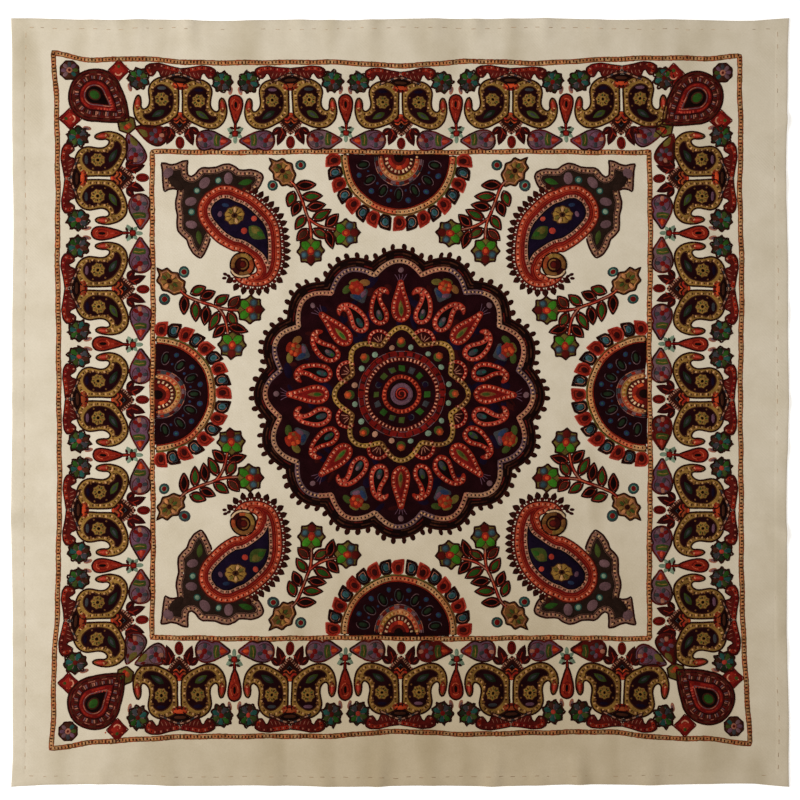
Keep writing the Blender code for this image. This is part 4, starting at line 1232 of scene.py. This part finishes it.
def pair_paisley(piece):
    """One paisley of the mirrored pair."""
    outline = even(curve(PAIR, True, 4), 2.2, True)
    piece.edged(outline, "ochre", FILL, "bark", 2.8, 0.3)
    core = even(curve(PAIR_CORE, True, 4), 2.0, True)
    piece.dots(inset(outline, 4.2), "umber sand bronze", FILL, 2.5, (2.0, 3.0))
    piece.loop(core, "umber", 2.0, FILL, 0.3)
    piece.fill(core, "plum", FILL + LAYER)
    level = FILL + 2 * LAYER
    piece.patch(oval((23.5, 82.0), 6.4, 2.6), pick("slate mauve navy"), level)
    flower = rosette((23.6, 67.8), 9.8, 8, 0.16, RNG.uniform(0, 45))
    piece.patch(flower, "ochre", level, dome=0.1)
    piece.loop(flower, "umber", 1.1, level - 0.1, 0.3, step=1.8)
    piece.dots(ring((23.6, 67.8), 5.4, 24), "umber olive bronze moss", level, 2.8, (2.2, 3.2))
    piece.bead((23.4, 68), 2.7, "ink", level + 0.3)
    piece.patch(leaf((20, 54.0), (37.0, 43.5), 4.4), pick("pine moss"), level)
    piece.patch(leaf((24, 51.5), (33.0, 46.0), 2.2), "slate", level + 0.2)
    for spot in ((12.0, 74.0), (34.5, 78.0), (13.5, 58.5), (34.0, 56.0)):
        piece.bead(spot, 1.8, "bronze", level)
    piece.patch(leaf((55.0, 52.0), (53.6, 70.4), 4.2), "brick", FILL + 0.15)
    piece.patch(leaf((54.8, 57.0), (53.8, 68.6), 2.2), "coral", FILL + 0.35)


def bracket_half(piece):
    """Half of the bracket over the pair: a dotted band, its hanging lobe and dark teeth."""
    wing = even([(0, 109.5), (14, 111.3), (27, 113.6), (39, 112.4), (45.5, 108.5), (44.5, 102),
                 (40.5, 97), (36, 96.5), (33, 100), (31, 104), (27.5, 102.5), (26, 97), (20, 95.5),
                 (12, 98), (6, 101.5), (0, 103.5)], 2.4, True)
    piece.edged(wing, "maroon", 0.3, "dark_wine", 1.7, 0.2)
    path = curve([(0.6, 106.8), (14, 108.4), (27, 110.4), (36.5, 109.2), (40.8, 105.2), (38.6, 99.6)])
    piece.rope(path, "brick crimson brick maroon", 5.0, 0.4, 0.35, step=3.0, shoulder=0.42, stretch=22.0)
    piece.dots(path, "dusty dark_wine", 0.7, 4.2, (1.9, 2.4), closed=False)
    for x in (6.5, 12.0, 17.0, 22.0):
        piece.rope([(x, 105.0), (x + 1.2, 101.5), (x + 2.8, 98.6)], "dusty", 0.9, 0.35, 0.35)


def joint_flower(piece):
    """Dark jagged flower where two units meet, and the pink blob under it."""
    middle = np.array((54.0, 92.5))
    outer = middle + rosette((0, 0), 14.6, 9, 0.2, 80) * (1.0, 1.04) + RNG.normal(0, 0.5, (54, 2))
    piece.patch(oval((65.0, 81.0), 3.2, 6.2, -14), "dusty", 0.25)
    piece.patch(oval((64.6, 82.0), 2.2, 4.2, -14), "heather", 0.45)
    piece.edged(outer, "pine", 0.3, "bark", 2.9, 0.25, step=1.8)
    petals(piece, middle, [150 - 360 * k / 7 for k in range(7)], (7.4, 7.8), (5.4, 3.7),
           "moss teal green pine slate umber teal", 0.6)
    for k in range(7):
        turn = 175 - 360 * k / 7
        piece.rope([around(middle, turn, 3.4), around(middle, turn, 10.8, 11.2)], "bark heather", 1.5,
                   0.65, 0.3, stretch=5.0)
    piece.bead(middle, 3.5, pick("crimson maroon rose"), 0.8)


def lower_leaf(piece, last):
    """Large drop-shaped flower under the pair, and two small dark leaves beside it."""
    points = LAST_LEAF if last else LOWER_LEAF
    shape = even(curve(points, True, 4), 2.2, True)
    middle = np.array((29.5, 20.0) if last else (32.2, 15.8))
    piece.edged(shape, pick("mauve maroon heather mauve"), 0.3, "maroon bark", 2.7, 0.25, stretch=30.0)
    petals(piece, middle, [360 * k / 7 + 20 for k in range(7)], (6.8, 6.6), (4.2, 3.1),
           "slate mauve crimson dusty heather", 0.55)
    piece.rope(ring(middle, 10.2, 20, 20, 300), "umber maroon", 1.1, 0.55, 0.3, stretch=9.0)
    piece.bead(middle, 3.8, "crimson", 0.8)
    if last:
        piece.patch(leaf((40.5, 18.5), (54.0, 28.6), 4.6), "olive", 0.5)
        piece.patch(leaf((42.5, 28.5), (51.0, 30.5), 2.4), "maroon", 0.5)
    else:
        piece.fill(even([(45.0, 26.0), (42.6, 16), (44.0, 7.4), (51.8, 7.4), (51.2, 15), (53.4, 21.6)],
                        2.4, True), "moss", 0.5)
        piece.fill(even([(53.4, 21.6), (51.4, 15), (52.2, 7.8), (58, 11), (64.4, 15.4)], 2.4, True),
                   "brick", 0.5)
        piece.patch(oval((56.0, 15.0), 4.6, 2.6, 0, 8), pick("orange coral"), 0.7)
        piece.rope([(47.5, 23.5), (46.5, 16), (48, 9.5)], "ochre", 1.5, 0.5, 0.4)
    for base, tip, wide in (((7.4, 33), (17.0, 8.0), 6.6), ((12.5, 33.0), (26.0, 21.5), 5.2)):
        piece.patch(leaf(base, tip, wide), "dark_wine", 0.3)
        piece.rope([np.add(np.multiply(base, 0.75), np.multiply(tip, 0.25)),
                    np.add(np.multiply(base, 0.35), np.multiply(tip, 0.65))], "brick", 1.5, 0.4, 0.4)


def centre_hanging(piece):
    """Dark arrow with dashed edges under the pair, its red heart and the oval that hangs from it."""
    arrow = even([(0, 20.6), (7.0, 28.0), (14.0, 35.2), (15.6, 41.0), (10.2, 42.5), (7.2, 49.5),
                  (0, 53.0), (-7.2, 49.5), (-10.2, 42.5), (-15.6, 41.0), (-14.0, 35.2), (-7.0, 28.0)],
                 2.2, True)
    piece.fill(arrow, "bark", 0.3)
    for x in (-1, 1):
        piece.rope([(0.8 * x, 24.0), (7.0 * x, 30.4), (13.2 * x, 37.4)], "umber", 4.4, 0.35, 0.2)
        piece.dots([(1.6 * x, 24.8), (13.6 * x, 37.6)], "dusty taupe", 0.5, 2.7, (1.5, 3.2), closed=False)
        piece.rope(curve([(9.8 * x, 45.5), (5.6 * x, 42.4), (1.4 * x, 46.4), (0, 50.5)]), "red rust",
                   3.4, 0.45, 0.4, stretch=9.0)
        piece.rope(curve([(8.2 * x, 40.2), (4.0 * x, 38.0), (0, 42.5)]), "orange rust", 1.8, 0.5, 0.4,
                   stretch=6.0)
        piece.rope(curve([(13.0 * x, 33.4), (9.6 * x, 25.2), (4.2 * x, 20.2)]), "brick maroon", 2.4,
                   0.2, 0.4, stretch=7.0)
    piece.fill(even([(0, 41.0), (-5.2, 36.4), (0, 29.5), (5.2, 36.4)], 2.0, True), "ink", 0.5)
    piece.rope([(-3.2, 36.8), (0, 33.4), (3.2, 36.8)], "slate", 1.4, 0.6, 0.4)
    piece.patch(leaf((-3.4, 49.6), (3.4, 49.6), 2.6), "orange", 0.6)
    piece.fill(oval((0, 12.2), 6.2, 8.9, 0, 20), "ink", 0.3)
    piece.loop(oval((0, 12.2), 4.5, 7.2, 0, 18), "brick", 1.3, 0.3, step=1.8)
    piece.patch(oval((0, 12.2), 3.6, 6.0, 0, 16), "crimson", 0.55)


def unit_joint(piece, side, at):
    """Red drop between two units, with a small ball and leaves at its tip."""
    piece.place = on_band(side, at)
    for x in (-1, 1):
        piece.patch(leaf((1.5 * x, 27.5), (11.5 * x, 32.0), 4.2), "pale_teal", 0.1)
        piece.patch(leaf((1.5 * x, 24.0), (9.5 * x, 18.6), 3.4), "pale_teal", 0.1)
    piece.patch(oval((0, 17.0), 3.4, 6.0), "pale_teal", 0.12)
    shape = spined([(0, 75.6, 0), (0, 74.2, 4.4), (0, 70.6, 7.6), (0, 65.0, 8.7), (0, 57.6, 7.9),
                    (0, 49.4, 5.6), (0, 42.4, 3.3), (0, 36.6, 0.6)])
    piece.edged(shape, "brick", 0.35, "dark_wine", 2.7, 0.25)
    piece.loop(oval((0, 62.5), 4.9, 7.6, 0, 20), "crimson salmon", 1.6, 0.35, step=1.8, stretch=9.0)
    piece.patch(oval((0, 62.5), 2.4, 5.2, 0, 12), "ink", 0.55)
    piece.rope([(0, 53), (0, 42)], "crimson rose", 1.8, 0.4, 0.4, stretch=6.0)
    piece.rope([(0, 41), (0, 28)], "dark_wine", 5.4, 0.2, 0.3)
    piece.rope([(0, 42), (0, 27)], "brick crimson", 2.6, 0.4, 0.4, stretch=8.0)
    for x in (-1, 1):
        piece.patch(leaf((1.2 * x, 30.6), (8.0 * x, 33.6), 2.3), "dark_wine", 0.35)
        piece.patch(leaf((1.6 * x, 26.5), (8.6 * x, 25.0), 2.4), "pine", 0.35)
    piece.patch(rosette((0, 24.6), 5.6, 4, 0.2, 45), "maroon", 0.5)
    piece.bead((0, 24.6), 3.6, "red", 0.7)


def corner_unit(piece, sx, sy):
    """Large drop in the border's corner that points to the field, with its flowers."""
    side = "right" if sx > 0 else "left"
    cx = sx * float(frame_offset(side, np.array([sy * 450.0]))[0])
    cy = sy * float(frame_offset("top" if sy > 0 else "bottom", np.array([sx * 450.0]))[0])

    def place(p):
        return np.column_stack((cx - sx * p[:, 0], cy - sy * p[:, 1]))

    piece.place = place
    head = (54.2, 54.6) if sy > 0 else (54.5, 58.0)
    heading = 37 if sy > 0 else 43
    outline = even(teardrop(head, 33.6, 55.5, heading, 2.2, 60), 2.2, True)
    piece.edged(outline, "maroon", FILL, "bark", 3.0, 0.3)
    piece.loop(inset(outline, 3.4), "umber dark_wine", 2.6, FILL, 0.4, stretch=9.0)
    piece.loop(inset(outline, 6.0), "dusty maroon umber", 1.3, FILL, 0.4, stretch=5.0)
    piece.fill(inset(outline, 7.4), "dark_wine", FILL + LAYER)
    piece.dots(inset(outline, 10.3), "dusty umber maroon heather", FILL + LAYER, 2.6, (1.9, 4.8))
    level = FILL + 2 * LAYER
    piece.fill(inset(outline, 13.2), "crimson", level)
    piece.loop(inset(outline, 14.2), "dark_wine", 1.3, level, 0.3)
    piece.loop(inset(outline, 17.0), "brick crimson red", 2.6, level, 0.3, stretch=8.0)
    piece.fill(inset(outline, 19.8), "maroon", level + LAYER)
    piece.loop(inset(outline, 20.6), "dusty heather", 1.4, level + LAYER, 0.4, stretch=9.0)
    piece.fill(inset(outline, 21.8), "ink", level + 2 * LAYER)
    piece.patch(oval(head, 9.0, 7.6, heading, 14), "umber", level + 3 * LAYER)
    piece.patch(oval(head, 7.2, 5.8, heading, 14), "green", level + 3 * LAYER + 0.15)
    piece.dots([(72.5, 58.5), (76.5, 72.5)], "coral", level + LAYER, 3.6, (2.0, 3.2), closed=False)
    piece.dots([(58.5, 72.5), (74.0, 73.5)], "coral", level + LAYER, 3.6, (2.0, 2.6), closed=False)
    dark = rosette((21.5, 22.5), 12.6, 8, 0.1, 22)
    piece.edged(dark, "umber", 0.35, "bark", 2.6, 0.25)
    petals(piece, (21.5, 22.5), range(0, 360, 45), (7.4,), (4.4, 2.9),
           "moss teal umber heather mauve heather slate mauve", 0.6)
    piece.bead((21.5, 22.5), 4.4, "dusty", 0.7, 10)
    piece.bead((21.5, 22.5), 2.6, "maroon", 0.9)
    for spot, away in (((84.6, 23.5), (0, -1)), ((23.0, 84.6), (-1, 0))):
        away = np.array(away)
        shape = rosette(spot, 14.4, 4, 0.32, 0)
        piece.edged(shape, "crimson", 0.35, "maroon", 2.0, 0.25, step=1.8)
        piece.patch(rosette(spot, 9.4, 4, 0.3, 0), "red", 0.6)
        piece.bead(spot + away * 5.0, 3.0, "moss", 0.8)
        facing = np.degrees(atan2(-away[1], -away[0]))
        piece.rope(ring(spot - away * 1.5, 4.8, 10, facing - 75, 150), "pink", 2.2, 0.75, 0.4, step=1.8)
        for _ in range(6):
            piece.bead(spot + RNG.normal(0, 4.4, 2), 1.3, pick("salmon pink rust"), 0.8, 6)
    shape = rosette((95.5, 93), 12.0, 6, 0.14, 20)
    piece.edged(shape, "olive", 0.35, "bark", 2.6, 0.25)
    for spot, yarn in (((91.5, 91), "moss"), ((97, 88), "olive"), ((99.5, 93.5), "rust"),
                       ((94.5, 97.5), "red"), ((97.0, 95.5), "orange")):
        piece.patch(oval(spot, 3.9, 2.9, RNG.uniform(0, 90)), yarn, 0.6)


def outer_line():
    """Closed line of the outer frame, which strays with the cloth."""
    loops = []
    for side, direction in (("bottom", 1), ("right", 1), ("top", -1), ("left", -1)):
        crossing, opposite = ("left", "right") if side in ("bottom", "top") else ("bottom", "top")
        far = 450.0 if side in ("top", "right") else -450.0
        low = -frame_offset(crossing, np.array([far]))[0]
        high = frame_offset(opposite, np.array([far]))[0]
        along = np.linspace(*(low, high)[::direction], 120, endpoint=False)
        loops.append(side_points(side, along, frame_offset(side, along)))
    return np.vstack(loops)


def inner_line():
    """Closed line of the inner frame."""
    return even([(-INNER["left"], -INNER["bottom"]), (INNER["right"], -INNER["bottom"]),
                 (INNER["right"], INNER["top"]), (-INNER["left"], INNER["top"])], 4.0, True)


def hem_stitches(piece):
    """Running stitches that hold the hem, a little uneven."""
    for side, depth in (("top", 12.0), ("bottom", 12.0), ("left", 16.5), ("right", 14.0)):
        half = CLOTH_WIDTH / 2 if side in ("top", "bottom") else CLOTH_DEPTH / 2
        at = -half + 22
        while at < half - 22:
            run = RNG.uniform(7.0, 10.0)
            along = np.array([at, at + run / 2, at + run])
            out = half_span(side) - depth - RNG.normal(0, 0.5) - edge_wander(side, along)
            piece.rope(side_points(side, along, out), "hem_thread", 1.1, 0.0, 0.2)
            at += run + RNG.uniform(6.0, 10.0)


# Camera and lamps: places in metres, lens and sensor in millimetres
CAMERA_PLACE = (0.0, 0.0032, 2.858)
CAMERA_LENS = 100.0
CAMERA_SENSOR = 36.0
Lamp = namedtuple("Lamp", "name place target size power colour")
LAMPS = [
    Lamp("key", (-1.75, 0.06, 2.15), (0.0, 0.05, 0.0), 1.5, 58.0, (0.97, 0.99, 1.0)),
    Lamp("fill", (1.3, -0.2, 2.4), (0.1, 0.0, 0.0), 2.4, 13.0, (1.0, 0.93, 0.82)),
]
WORLD_COLOUR = (1.0, 0.96, 0.91)
WORLD_STRENGTH = 0.24
FLOOR_REACH = 6.0
FLOOR_DROP = 0.0002


def add_light(name, place, target, size, power, colour):
    """Square lamp of a size in metres and a power in watts."""
    data = bpy.data.lights.new(name, "AREA")
    data.size = size
    data.energy = power
    data.color = colour
    lamp = bpy.data.objects.new(name, data)
    lamp.location = place
    lamp.rotation_euler = (Vector(target) - Vector(place)).to_track_quat("-Z", "Y").to_euler()
    bpy.context.scene.collection.objects.link(lamp)


def add_camera():
    """Straight above, like the photograph."""
    data = bpy.data.cameras.new("camera")
    data.lens = CAMERA_LENS
    data.sensor_width = CAMERA_SENSOR
    camera = bpy.data.objects.new("camera", data)
    camera.location = CAMERA_PLACE
    bpy.context.scene.collection.objects.link(camera)
    bpy.context.scene.camera = camera


def add_floor():
    """Pale floor just under the cloth."""
    mesh = bpy.data.meshes.new("floor")
    r = FLOOR_REACH
    mesh.from_pydata([(-r, -r, 0), (r, -r, 0), (r, r, 0), (-r, r, 0)], [], [(0, 1, 2, 3)])
    floor = bpy.data.objects.new("floor", mesh)
    floor.location.z = -FLOOR_DROP
    bpy.context.scene.collection.objects.link(floor)
    material, _, shader, _ = new_material("pale_floor")
    shader.inputs["Base Color"].default_value = (0.9, 0.9, 0.9, 1)
    shader.inputs["Roughness"].default_value = 0.8
    shader.inputs["Emission Color"].default_value = (1, 1, 1, 1)
    shader.inputs["Emission Strength"].default_value = 0.45
    mesh.materials.append(material)


def light_scene():
    """Soft daylight: a pale world, a key lamp at the left and a warm fill at the right."""
    scene = bpy.context.scene
    scene.view_settings.view_transform = "Standard"
    scene.view_settings.look = "None"
    world = bpy.data.worlds.new("studio")
    world.use_nodes = True
    world.node_tree.nodes["Background"].inputs["Color"].default_value = (*WORLD_COLOUR, 1)
    world.node_tree.nodes["Background"].inputs["Strength"].default_value = WORLD_STRENGTH
    scene.world = world
    for lamp in LAMPS:
        add_light(*lamp)


def main():
    """Build the cloth and every stitched piece, and hand them to the frame."""
    add_camera()
    light_scene()
    add_floor()
    materials = {name: yarn_material(name + "_wool", colour) for name, colour in YARNS.items()}
    cloth = build_cloth()

    def finish_piece(piece):
        obj = piece.build(materials)
        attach(obj, "root")

    for name, line in (("outer_frame_line", outer_line()), ("inner_frame_line", inner_line())):
        piece = Piece(name)
        piece.loop(line, "rust bronze", 7.4, 0.1, 0.1, shoulder=0.44, stretch=9.0)
        piece.loop(line, "tan sand tan", 4.8, 0.3, 0.35, stretch=13.0)
        piece.dots(line, "umber", 0.6, 4.4, (2.3, 3.2))
        finish_piece(piece)

    for side in SIDES:
        piece = Piece("border_" + side)
        for k in range(UNITS):
            ends = {0: (-1,), UNITS - 1: (1,)}.get(k, ())
            border_unit(piece, side, (k - 2) * UNIT_PITCH + UNIT_SHIFT[side], ends)
        for k in range(UNITS - 1):
            unit_joint(piece, side, (k - 1.5) * UNIT_PITCH + UNIT_SHIFT[side])
        finish_piece(piece)

    corners = Piece("border_corners")
    paisleys = Piece("corner_paisleys")
    crests = Piece("paisley_crests")
    sprays = Piece("flower_sprays")
    for sx in (1, -1):
        for sy in (1, -1):
            quarter = in_quarter(sx, sy)
            corner_unit(corners, sx, sy)
            crests.place = quarter
            crest(crests)
            paisleys.place = quarter
            corner_paisley(paisleys)
            for swap in (False, True):
                sprays.place = in_quarter(sx, sy, swap)
                spray(sprays)
    for piece in (corners, crests, paisleys, sprays):
        finish_piece(piece)

    ground = Piece("medallion_ground")
    medallion_ground(ground)
    finish_piece(ground)
    motifs = Piece("medallion_motifs")
    medallion_motifs(motifs)
    finish_piece(motifs)
    halves = Piece("half_medallions")
    for side in SIDES:
        half_medallion(halves, side)
    finish_piece(halves)
    hem = Piece("hem_stitches")
    hem_stitches(hem)
    finish_piece(hem)

    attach(cloth, "root")
    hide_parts("tablecloth")


main()
